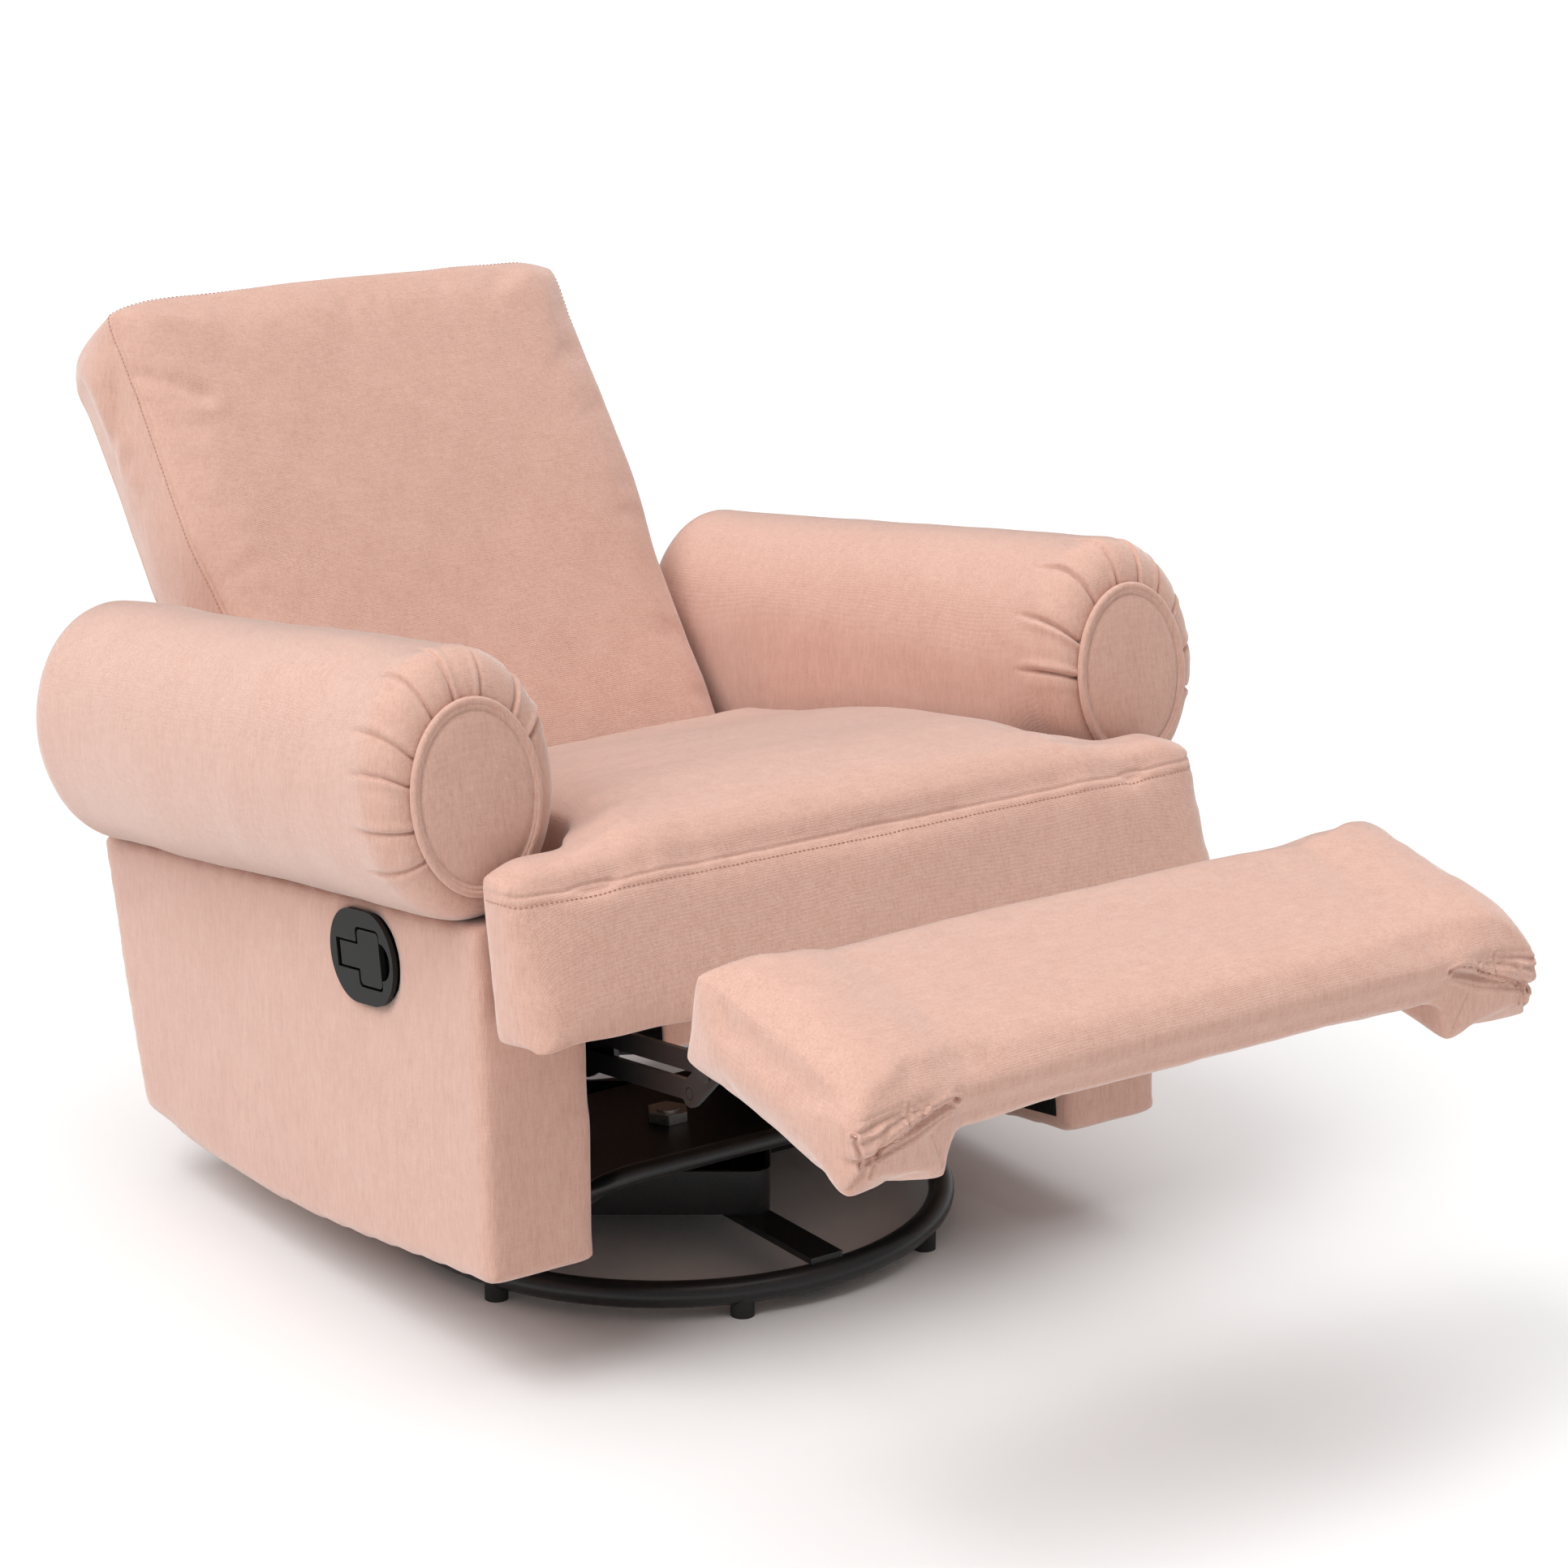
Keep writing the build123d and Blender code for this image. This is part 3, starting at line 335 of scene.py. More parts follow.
FINISHES = {
    "blush_fabric": cloth_finish(
        "blush_chenille",
        dark=(0.565, 0.330, 0.258),
        middle=(0.650, 0.400, 0.322),
        light=(0.710, 0.464, 0.382),
        threads=5200.0,
        bump=0.35,
        Roughness=0.92,
        Sheen_Weight=0.95,
        Sheen_Roughness=0.36,
        Sheen_Tint=(1.0, 0.96, 0.94, 1.0),
        Specular_IOR_Level=0.12,
    ),
    "blush_thread": cloth_finish(
        "blush_sewing_thread",
        dark=(0.42, 0.21, 0.15),
        middle=(0.50, 0.27, 0.20),
        light=(0.58, 0.34, 0.26),
        threads=9000.0,
        bump=0.3,
        Roughness=0.7,
        Specular_IOR_Level=0.25,
    ),
    "black_cambric": cloth_finish(
        "black_dust_cloth",
        dark=(0.004, 0.004, 0.004),
        middle=(0.009, 0.009, 0.009),
        light=(0.02, 0.02, 0.02),
        threads=3600.0,
        bump=0.4,
        Roughness=0.95,
        Specular_IOR_Level=0.1,
    ),
    "webbing": cloth_finish(
        "elastic_webbing",
        dark=(0.05, 0.045, 0.04),
        middle=(0.09, 0.085, 0.08),
        light=(0.16, 0.15, 0.14),
        threads=2600.0,
        bump=0.6,
        Roughness=0.85,
        Specular_IOR_Level=0.2,
    ),
    "black_steel": coat_finish(
        "black_satin_steel",
        coat=(0.0065, 0.0065, 0.007),
        worn=(0.09, 0.088, 0.085),
        rough=0.28,
        worn_rough=0.4,
        metal=0.0,
        reach=0.0012,
        grain=700.0,
        bump=0.12,
    ),
    "bright_steel": coat_finish(
        "zinc_plated_steel",
        coat=(0.42, 0.42, 0.40),
        worn=(0.62, 0.62, 0.6),
        rough=0.3,
        worn_rough=0.25,
        metal=0.85,
        reach=0.0008,
        grain=500.0,
        bump=0.1,
    ),
    "charcoal_plastic": coat_finish(
        "charcoal_moulded_plastic",
        coat=(0.005, 0.005, 0.0045),
        worn=(0.018, 0.018, 0.016),
        rough=0.5,
        worn_rough=0.45,
        metal=None,
        reach=0.0012,
        grain=1500.0,
        bump=0.3,
        Specular_IOR_Level=0.28,
    ),
    "cable_sheath": coat_finish(
        "black_cable_sheath",
        coat=(0.012, 0.012, 0.012),
        worn=(0.04, 0.04, 0.04),
        rough=0.42,
        worn_rough=0.4,
        metal=None,
        reach=0.0006,
        grain=1200.0,
        bump=0.15,
    ),
    "foot_rubber": coat_finish(
        "black_rubber",
        coat=(0.012, 0.012, 0.012),
        worn=(0.05, 0.05, 0.05),
        rough=0.75,
        worn_rough=0.8,
        metal=None,
        reach=0.0015,
        grain=1100.0,
        bump=0.35,
    ),
    "hardwood": wood_finish("frame_hardwood"),
}


# ---------------------------------------------------------------- shared shapes
def turn_x(points, angle):
    """Turns points about the X axis through the origin."""
    c, s = math.cos(angle), math.sin(angle)
    x, y, z = points[..., 0], points[..., 1], points[..., 2]
    return np.stack((x, y * c - z * s, y * s + z * c), -1)


def in_body(points):
    """Level-body millimetres to metres in the row frame."""
    return turn_x(np.asarray(points, float) * MM, BODY_PITCH)


def in_back(points):
    """Backrest millimetres (across, rearward, up the slope) to metres in the row frame."""
    return in_body(turn_x(np.asarray(points, float), BACK_SLOPE) + BACK_PIVOT)


def in_rest(points):
    """Footrest millimetres (across, along, square to the pad) to metres in the row frame."""
    return in_body(turn_x(np.asarray(points, float), REST_SLOPE) + REST_CENTRE)


def new_piece(name, points, faces):
    """A mesh object at the origin, from points and faces."""
    mesh = bpy.data.meshes.new(name)
    mesh.from_pydata(np.asarray(points).reshape(-1, 3).tolist(), [], faces)
    mesh.update()
    piece = bpy.data.objects.new(name, mesh)
    bpy.context.scene.collection.objects.link(piece)
    return piece


def grid_faces(rows, columns, round_rows=True):
    """Quads of a rows by columns grid, whose rows close on themselves if round_rows."""
    r = np.arange(rows - 1)[:, None] * columns
    last = columns if round_rows else columns - 1
    c = np.arange(last)[None, :]
    n = (c + 1) % columns
    quads = np.stack((r + c, r + n, r + n + columns, r + c + columns), -1)
    return quads.reshape(-1, 4).tolist()


def skin_of(name, rings):
    """A closed skin over a stack of rings, each end drawn together at its middle."""
    rows, columns = rings.shape[:2]
    faces = grid_faces(rows, columns)
    points = np.concatenate((rings.reshape(-1, 3), [rings[0].mean(0)], [rings[-1].mean(0)]))
    low, high = rows * columns, rows * columns + 1
    c = np.arange(columns)
    n = (c + 1) % columns
    faces += np.stack((n, c, np.full(columns, low)), -1).tolist()
    top = (rows - 1) * columns
    faces += np.stack((top + c, top + n, np.full(columns, high)), -1).tolist()
    return new_piece(name, points, faces)


def face_outward(piece):
    """Makes every face of a closed mesh look out."""
    work = bmesh.new()
    work.from_mesh(piece.data)
    bmesh.ops.remove_doubles(work, verts=work.verts, dist=1e-6)
    bmesh.ops.recalc_face_normals(work, faces=work.faces)
    work.to_mesh(piece.data)
    work.free()


def get_points(piece):
    """All vertices of a piece as an array."""
    points = np.zeros(len(piece.data.vertices) * 3, np.float32)
    piece.data.vertices.foreach_get("co", points)
    return points.reshape(-1, 3).astype(float)


def set_points(piece, points):
    """Puts an array of vertices back into a piece."""
    piece.data.vertices.foreach_set("co", np.asarray(points, np.float32).ravel())
    piece.data.update()


def get_normals(piece):
    """The vertex normals of a piece."""
    normals = np.zeros(len(piece.data.vertices) * 3, np.float32)
    piece.data.vertex_normals.foreach_get("vector", normals)
    return normals.reshape(-1, 3).astype(float)


def apply_modifier(piece, kind, **settings):
    """Adds one modifier and bakes it into the mesh."""
    modifier = piece.modifiers.new("work", kind)
    for key, value in settings.items():
        setattr(modifier, key, value)
    graph = bpy.context.evaluated_depsgraph_get()
    graph.update()
    mesh = bpy.data.meshes.new_from_object(piece.evaluated_get(graph))
    piece.modifiers.clear()
    piece.data = mesh


BLOCK_FACES = ((0, 3, 2, 1), (4, 5, 6, 7), (0, 1, 5, 4), (1, 2, 6, 5), (2, 3, 7, 6), (3, 0, 4, 7))


def upright_box(x0, x1, y0, y1, z0, z1):
    """The corners of a straight block."""
    low = [(x0, y0, z0), (x1, y0, z0), (x1, y1, z0), (x0, y1, z0)]
    return low + [(x, y, z1) for x, y, _ in low]


def stuffing(name, blocks, voxel, rounds):
    """One closed shape round several blocks, in metres, with its edges softened.

    A block is its eight corners in millimetres, four at the bottom and then four at the top."""
    points, faces = [], []
    for corners in blocks:
        faces += [tuple(i + len(points) for i in f) for f in BLOCK_FACES]
        points += corners
    piece = new_piece(name, np.array(points) * MM, faces)
    apply_modifier(piece, "REMESH", mode="VOXEL", voxel_size=voxel * MM, adaptivity=0.0)
    relax(piece, rounds)
    return piece


def relax(piece, rounds, share=0.5):
    """Moves each vertex towards the middle of its neighbours, several times over."""
    edges = np.zeros(len(piece.data.edges) * 2, np.int32)
    piece.data.edges.foreach_get("vertices", edges)
    a, b = edges.reshape(-1, 2).T
    points = get_points(piece)
    count = len(points)
    near = np.maximum(np.bincount(a, minlength=count) + np.bincount(b, minlength=count), 1)
    for _ in range(rounds):
        total = np.stack(
            [
                np.bincount(a, points[b, k], count) + np.bincount(b, points[a, k], count)
                for k in range(3)
            ],
            -1,
        )
        points += share * (total / near[:, None] - points)
    set_points(piece, points)


CLOTH_FRAMES = 20
CLOTH_SETTINGS = {
    "quality": 4,
    "mass": 0.3,
    "tension_stiffness": 15.0,
    "compression_stiffness": 15.0,
    "shear_stiffness": 5.0,
    "bending_stiffness": 0.5,
    "use_pressure": True,
    "uniform_pressure_force": 4.0,
}


def puff(piece, cap):
    """Inflates the piece as sewn cloth, and caps how far each point moves, in millimetres."""
    before = get_points(piece)
    cloth = piece.modifiers.new("filling", "CLOTH")
    for key, value in CLOTH_SETTINGS.items():
        setattr(cloth.settings, key, value)
    cloth.settings.effector_weights.gravity = 0.0
    scene = bpy.context.scene
    for number in range(1, CLOTH_FRAMES + 1):
        scene.frame_set(number)
    graph = bpy.context.evaluated_depsgraph_get()
    result = piece.evaluated_get(graph).to_mesh()
    after = np.zeros(len(before) * 3, np.float32)
    result.vertices.foreach_get("co", after)
    piece.evaluated_get(graph).to_mesh_clear()
    piece.modifiers.clear()
    scene.frame_set(1)
    moved = after.reshape(-1, 3) - before
    moved -= moved.mean(0)
    reach = np.linalg.norm(moved, axis=1, keepdims=True)
    set_points(piece, before + moved * np.minimum(1.0, cap * MM / np.maximum(reach, 1e-9)))


def subdivide(piece):
    """One round of smooth subdivision, baked."""
    apply_modifier(piece, "SUBSURF", levels=1, render_levels=1)


def ripple(points, scale, seed):
    """Smooth made-up unevenness from -1 to 1: a sum of slanted sine waves with fixed random slants."""
    chance = np.random.default_rng(seed)
    total = np.zeros(len(points))
    for _ in range(7):
        way = chance.normal(size=3)
        way *= chance.uniform(0.6, 1.5) / (np.linalg.norm(way) * scale)
        total += np.sin(points @ way * 2 * math.pi + chance.uniform(0, 2 * math.pi))
    return total / 4.0


def uneven(piece, points, swells):
    """The points of a piece pushed along its normals by ripples of (height, scale, seed)."""
    push = sum(height * ripple(points, scale, seed) for height, scale, seed in swells)
    return points + get_normals(piece) * push[:, None]


def step(value, low, high):
    """A smooth step from 0 at low to 1 at high."""
    t = np.clip((value - low) / (high - low), 0.0, 1.0)
    return t * t * (3 - 2 * t)


def quarter_inset(value, start, end, radius):
    """How far a quarter-round edge draws in, from 0 at start to radius at end."""
    t = np.clip((value - start) / (end - start), 0.0, 1.0)
    return radius * (1 - np.sqrt(1 - t * t))


def distance_to_segment(u, v, start, end):
    """The distance of flat points (u, v) to a straight stroke from start to end."""
    du, dv = end[0] - start[0], end[1] - start[1]
    t = np.clip(((u - start[0]) * du + (v - start[1]) * dv) / (du * du + dv * dv), 0.0, 1.0)
    return np.hypot(u - start[0] - t * du, v - start[1] - t * dv)


def bell(value, width):
    """A bell curve of the given half-width."""
    return np.exp(-((value / width) ** 2))


def along(points, spacing):
    """Points at an even spacing along a broken line."""
    points = np.asarray(points, float)
    lengths = np.concatenate(([0.0], np.cumsum(np.linalg.norm(np.diff(points, axis=0), axis=1))))
    count = max(2, int(lengths[-1] / spacing) + 1)
    at = np.linspace(0.0, lengths[-1], count)
    return np.stack([np.interp(at, lengths, points[:, k]) for k in range(3)], -1)


def rounded_path(points, radius, spacing=2.0):
    """A broken line evenly sampled and smoothed so that its corners turn gently."""
    line = along(points, spacing)
    for _ in range(int((radius / spacing) ** 2)):
        line[1:-1] = 0.5 * line[1:-1] + 0.25 * (line[2:] + line[:-2])
    return line


def onto(piece, line):
    """Moves a line's points to the nearest places on a piece, with the normals there."""
    graph = bpy.context.evaluated_depsgraph_get()
    graph.update()
    tree = BVHTree.FromObject(piece, graph)
    found = [tree.find_nearest(Vector(p)) for p in line]
    places = np.array([f[0] for f in found])
    normals = np.array([f[1] for f in found])
    for _ in range(6):
        places[1:-1] = 0.5 * places[1:-1] + 0.25 * (places[2:] + places[:-2])
        normals[1:-1] = 0.5 * normals[1:-1] + 0.25 * (normals[2:] + normals[:-2])
    return places, normals / np.linalg.norm(normals, axis=1, keepdims=True)


def distance_to(points, line, limit):
    """Each point's distance to a sampled line; points further than limit from its box stay far."""
    low, high = line.min(0) - limit, line.max(0) + limit
    near = np.all((points >= low) & (points <= high), axis=1)
    result = np.full(len(points), FAR)
    chosen = np.nonzero(near)[0]
    for part in np.array_split(chosen, max(1, len(chosen) // 4000)):
        gaps = points[part][:, None, :] - line[None, :, :]
        result[part] = np.sqrt((gaps**2).sum(-1).min(1))
    return result


def refine_near(piece, line, reach):
    """Cuts the edges near a line in three, so that a seam can be pressed in there."""
    points = get_points(piece)
    near = distance_to(points, line, reach) < reach
    work = bmesh.new()
    work.from_mesh(piece.data)
    work.verts.ensure_lookup_table()
    edges = [e for e in work.edges if near[e.verts[0].index] and near[e.verts[1].index]]
    bmesh.ops.subdivide_edges(work, edges=edges, cuts=2, use_grid_fill=True, smooth=0.0)
    work.to_mesh(piece.data)
    work.free()


def press_seam(piece, line, depth, width, lip=0.12):
    """Presses a groove along a line, with a small swell on each side of it."""
    points = get_points(piece)
    gap = distance_to(points, line, 6 * width)
    dip = bell(gap, width) - lip * bell(gap - 2.4 * width, width)
    set_points(piece, points - get_normals(piece) * (depth * dip)[:, None])


def closed_tube(name, line, normals, radius, sides, flat):
    """A tube whose oval section is carried round a closed line; flat squeezes it towards the surface."""
    ahead = np.roll(line, -1, 0) - np.roll(line, 1, 0)
    ahead /= np.linalg.norm(ahead, axis=1, keepdims=True)
    across = np.cross(ahead, normals)
    across /= np.linalg.norm(across, axis=1, keepdims=True)
    up = np.cross(across, ahead)
    turn = np.linspace(0, 2 * math.pi, sides, endpoint=False)
    rings = (
        line[:, None, :]
        + across[:, None, :] * (radius * np.cos(turn))[None, :, None]
        + up[:, None, :] * (flat * radius * np.sin(turn))[None, :, None]
    )
    rings = np.concatenate((rings, rings[:1]))
    piece = new_piece(name, rings, grid_faces(len(rings), sides))
    face_outward(piece)
    return piece


def stitches(name, line, normals, length=0.0030, pitch=0.0046, radius=0.00042):
    """A row of short stitches that lie on the cloth along a line: each is a spindle of five rings."""
    lengths = np.concatenate(([0.0], np.cumsum(np.linalg.norm(np.diff(line, axis=0), axis=1))))
    starts = np.arange(pitch, lengths[-1] - pitch, pitch)
    sides, stations = 6, np.array([-0.5, -0.38, 0.0, 0.38, 0.5])
    girth = np.array([0.25, 0.85, 1.0, 0.85, 0.25])
    turn = np.linspace(0, 2 * math.pi, sides, endpoint=False)
    at = starts[:, None] + stations[None, :] * length
    centre = np.stack([np.interp(at, lengths, line[:, k]) for k in range(3)], -1)
    up = np.stack([np.interp(at, lengths, normals[:, k]) for k in range(3)], -1)
    ahead = np.stack([np.interp(at, lengths, np.gradient(line[:, k])) for k in range(3)], -1)
    ahead /= np.linalg.norm(ahead, axis=-1, keepdims=True)
    across = np.cross(ahead, up)
    centre = centre + up * radius * (0.2 + 0.8 * girth)[None, :, None]
    ring = (
        centre[:, :, None, :]
        + across[:, :, None, :] * (radius * girth[None, :, None] * np.cos(turn))[..., None]
        + up[:, :, None, :] * (radius * girth[None, :, None] * np.sin(turn))[..., None]
    )
    size = len(stations) * sides
    one = grid_faces(len(stations), sides)
    one += [tuple(range(sides))[::-1], tuple(range(size - sides, size))]
    faces = [tuple(i + k * size for i in f) for k in range(len(starts)) for f in one]
    piece = new_piece(name, ring, faces)
    face_outward(piece)
    return piece


def dress(piece, body, finish, stands_for=()):
    """Gives a piece its finish and its body, and hides the CAD nodes it stands for."""
    piece.data.materials.clear()
    piece.data.materials.append(FINISHES[finish])
    piece.data.polygons.foreach_set("use_smooth", np.ones(len(piece.data.polygons), bool))
    piece.data.update()
    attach(piece, body)
    if stands_for:
        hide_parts(*stands_for)


def sewn(name, piece, body, line, second=None):
    """A seam pressed into a piece along a line, and its top stitches, if any, a little way off."""
    places, normals = onto(piece, line)
    refine_near(piece, places, 0.009)
    press_seam(piece, places, 0.0011, 0.0016)
    if second is not None:
        places, normals = onto(piece, second)
        press_seam(piece, places, 0.0005, 0.0012, 0.2)
        row = stitches(f"{name}_stitches", places, normals)
        dress(row, body, "blush_thread")


# ---------------------------------------------------------------- rolled arms
ROLL_X = 353.0
ROLL_HALF = (90.0, 117.0)
ROLL_CENTRE_Z = 505.0
ROLL_FRONT_Y = -286.0
ROLL_REAR_Y = 390.0
ROLL_REAR_ROUNDING = 44.0
ROLL_SIDES = 440
CORNER_SQUARENESS = 0.12
SHOULDER_DEPTH = 36.0
CLOSE_ROWS_Y = -200.0
DISC_HALF = (60.0, 82.0)
DISC_CENTRE_Z = 497.0
DISC_WELT_ROOM = 3.0
PLEATS_LEFT = (-34, -13, 9, 28, 57, 83, 107, 130, 156)
PLEATS_RIGHT = (-16, 7, 29, 52, 76, 98, 126, 152, 179)


def roll_stations():
    """Stations of a rolled arm, from the middle of its rear face to the disc: y, the oval's two
    half-widths, its middle's height, and the sine of the angle that the shoulder has turned.  The rear
    edge is a quarter round, the shoulder a quarter oval."""
    face = np.array([0.25, 0.5, 0.75, 0.92])
    quarter = np.linspace(0, math.pi / 2, 12)
    rear_y = ROLL_REAR_Y - ROLL_REAR_ROUNDING * (1 - np.cos(quarter))
    rear_in = ROLL_REAR_ROUNDING * (1 - np.sin(quarter))
    plain_y = np.linspace(rear_y[-1], CLOSE_ROWS_Y, 70)[1:]
    close_y = np.linspace(CLOSE_ROWS_Y, ROLL_FRONT_Y, 44)[1:]
    shoulder = np.linspace(0, math.pi / 2, 26)[1:]
    shoulder_y = ROLL_FRONT_Y - SHOULDER_DEPTH * np.sin(shoulder)
    y = np.concatenate((np.full(len(face), ROLL_REAR_Y), rear_y, plain_y, close_y, shoulder_y))
    closing = 1 - np.cos(shoulder)
    straight = np.ones(len(plain_y) + len(close_y))
    half = []
    for wide, disc in zip(ROLL_HALF, DISC_HALF):
        rim = disc + DISC_WELT_ROOM
        core = wide - ROLL_REAR_ROUNDING
        narrowing = wide - (wide - rim) * closing
        half.append(np.concatenate((core * face, wide - rear_in, wide * straight, narrowing)))
    behind = np.zeros(len(y) - len(shoulder))
    centre_z = ROLL_CENTRE_Z + np.concatenate((behind, (DISC_CENTRE_Z - ROLL_CENTRE_Z) * closing))
    forward = np.concatenate((behind, np.sin(shoulder)))
    return y, half[0], half[1], centre_z, forward


def pleat_swell(y, degrees, pleats, seed):
    """How far the cloth stands out at each station and angle: a narrow crease at each pleat, with a
    small roll on either side of it, and a broad swell between two pleats.  Both fade out behind the
    shoulder; the pleats on the inner side are deeper, and each one leans a little."""
    chance = np.random.default_rng(seed)
    swell = np.zeros((len(y), degrees.size))
    for number, angle in enumerate(pleats):
        lean = chance.uniform(-3.5, 3.5)
        deep = 1.0 + 0.7 * step(np.array(float(angle)), 110.0, 150.0)
        run = deep * step(-y, 254.0 + chance.uniform(-10, 16), 306.0)
        bend = lean * np.clip((-y - 240) / 80, 0, 1)[:, None]
        off = (degrees - angle - bend + 180) % 360 - 180
        side = 1 if number % 2 else -1
        crease = -3.6 * bell(off, 1.0)
        crease = crease + 1.5 * bell(off - side * 3.0, 2.4) + 0.7 * bell(off + side * 5.5, 4.0)
        swell += crease * run[:, None]
    reach = step(-y, 232.0, 292.0)[:, None]
    for angle in 0.5 * (np.array(pleats[1:]) + np.array(pleats[:-1])):
        off = (degrees - angle + 180) % 360 - 180
        swell += 1.5 * bell(off, 9.0) * reach
    return swell


def roll_rings(sign, pleats, seed):
    """Rings of a rolled arm: an oval carried along its stations, with the pleats added along the
    shoulder's own normal.  The oval's inner lower quarter is squared, its cosine raised to a small
    power, so that it meets the seat.  Slow ripples are added last, fading towards the disc."""
    y, half_across, half_up, centre_z, forward = roll_stations()
    around = np.radians(np.linspace(0, 360, ROLL_SIDES, endpoint=False))
    swell = pleat_swell(y, np.degrees(around)[None, :], pleats, seed)
    forward = forward[:, None]
    outward = np.sqrt(np.maximum(1 - forward**2, 0.0))
    a = half_across[:, None] + swell * outward
    b = half_up[:, None] + swell * outward
    across, height = np.cos(around)[None, :], np.sin(around)[None, :]
    inner = (across < 0) & (height < 0)
    from_front = step(y, ROLL_FRONT_Y - 6.0, ROLL_FRONT_Y + 60.0)
    from_rear = step(-y, -ROLL_REAR_Y + 4.0, -ROLL_REAR_Y + 60.0)
    square = np.where(inner, -np.abs(across) ** CORNER_SQUARENESS, across)
    across = across + (square - across) * (from_front * from_rear)[:, None]
    x = sign * (ROLL_X + a * across)
    z = centre_z[:, None] + b * height
    rings = np.stack((x, y[:, None] - swell * forward, z), -1)
    if sign < 0:
        rings = rings[:, ::-1]
    points = rings.reshape(-1, 3)
    push = 1.6 * ripple(points, 260.0, seed) + 0.5 * ripple(points, 90.0, seed + 1)
    out = points - np.array([sign * ROLL_X, 0.0, ROLL_CENTRE_Z])
    out[:, 1] = 0.0
    out /= np.maximum(np.linalg.norm(out, axis=1, keepdims=True), 1.0)
    calm = 1 - 0.7 * step(-points[:, 1], 280.0, 320.0)
    return (points + out * (push * calm)[:, None]).reshape(rings.shape)


def oval_ring(half, y, sides, sign):
    """An upright oval round the disc's middle, seen from the front."""
    around = np.linspace(0, 2 * math.pi, sides, endpoint=False)
    x = sign * ROLL_X + half[0] * np.cos(around)
    return np.stack((x, np.full(sides, y), DISC_CENTRE_Z + half[1] * np.sin(around)), -1)


DISC_STEPS = (0.16, 0.32, 0.5, 0.66, 0.78, 0.86, 0.90, 0.925, 0.95, 0.985, 1.0)
DISC_RISE = (10.5, 10.2, 9.7, 9.0, 8.3, 7.3, 5.4, 7.2, 7.6, 6.4, 1.5)
DISC_SIDES = 160
WELT_STATIONS = 200


def make_disc(side, sign):
    """The front disc: ovals in steps from its middle to its rim, each with its own rise, so that it
    swells a little inside a sewn ring; and the welt round it, a tube along the rim."""
    front = ROLL_FRONT_Y - SHOULDER_DEPTH
    rings = [
        oval_ring((DISC_HALF[0] * s, DISC_HALF[1] * s), front - rise, DISC_SIDES, sign)
        for s, rise in zip(DISC_STEPS, DISC_RISE)
    ]
    rings.append(oval_ring(DISC_HALF, front + 2.0, DISC_SIDES, sign))
    disc = skin_of(f"disc_pad_{side}", in_body(np.array(rings)))
    face_outward(disc)
    dress(disc, "body", "blush_fabric", (f"arm_disc_{side}",))
    rim = oval_ring((DISC_HALF[0] - 0.5, DISC_HALF[1] - 0.5), front - 5.0, WELT_STATIONS, sign)
    outward = in_body(np.tile([0.0, -1.0, 0.0], (WELT_STATIONS, 1))) / MM
    welt = closed_tube(f"disc_welt_{side}", in_body(rim), outward, 0.0036, 10, 0.95)
    dress(welt, "body", "blush_fabric")


def make_roll(side, sign, pleats, seed):
    """The rolled armrest's cover."""
    roll = skin_of(f"roll_cover_{side}", in_body(roll_rings(sign, pleats, seed)))
    face_outward(roll)
    dress(roll, "body", "blush_fabric", (f"arm_roll_{side}",))


# ---------------------------------------------------------------- arm panels and the rear
def cover_of(node, name, voxel, rounds, unevenness, seed):
    """A softened cover in the place of one CAD solid."""
    source = frame["nodes"][node]
    work = bmesh.new()
    work.from_mesh(source.data)
    bmesh.ops.remove_doubles(work, verts=work.verts, dist=1e-5)
    mesh = bpy.data.meshes.new(name)
    work.to_mesh(mesh)
    work.free()
    cover = bpy.data.objects.new(name, mesh)
    bpy.context.scene.collection.objects.link(cover)
    apply_modifier(cover, "REMESH", mode="VOXEL", voxel_size=voxel * MM, adaptivity=0.0)
    relax(cover, rounds)
    points = get_points(cover)
    push = unevenness * (ripple(points / MM, 210.0, seed) + 0.3 * ripple(points / MM, 60.0, seed + 1))
    set_points(cover, points + get_normals(cover) * (push * MM)[:, None])
    return cover


PANEL_HIDDEN_Z = (385.0, 432.0)
PANEL_HIDDEN_X = 269.0
PANEL_HIDDEN_Y = (-262.0, 338.0)
BEZEL_SEAT_X = -353.0
POCKET_CENTRE = (-133.0, 338.0)
POCKET_STRAIGHT = 14.0
POCKET_RADIUS = 39.5


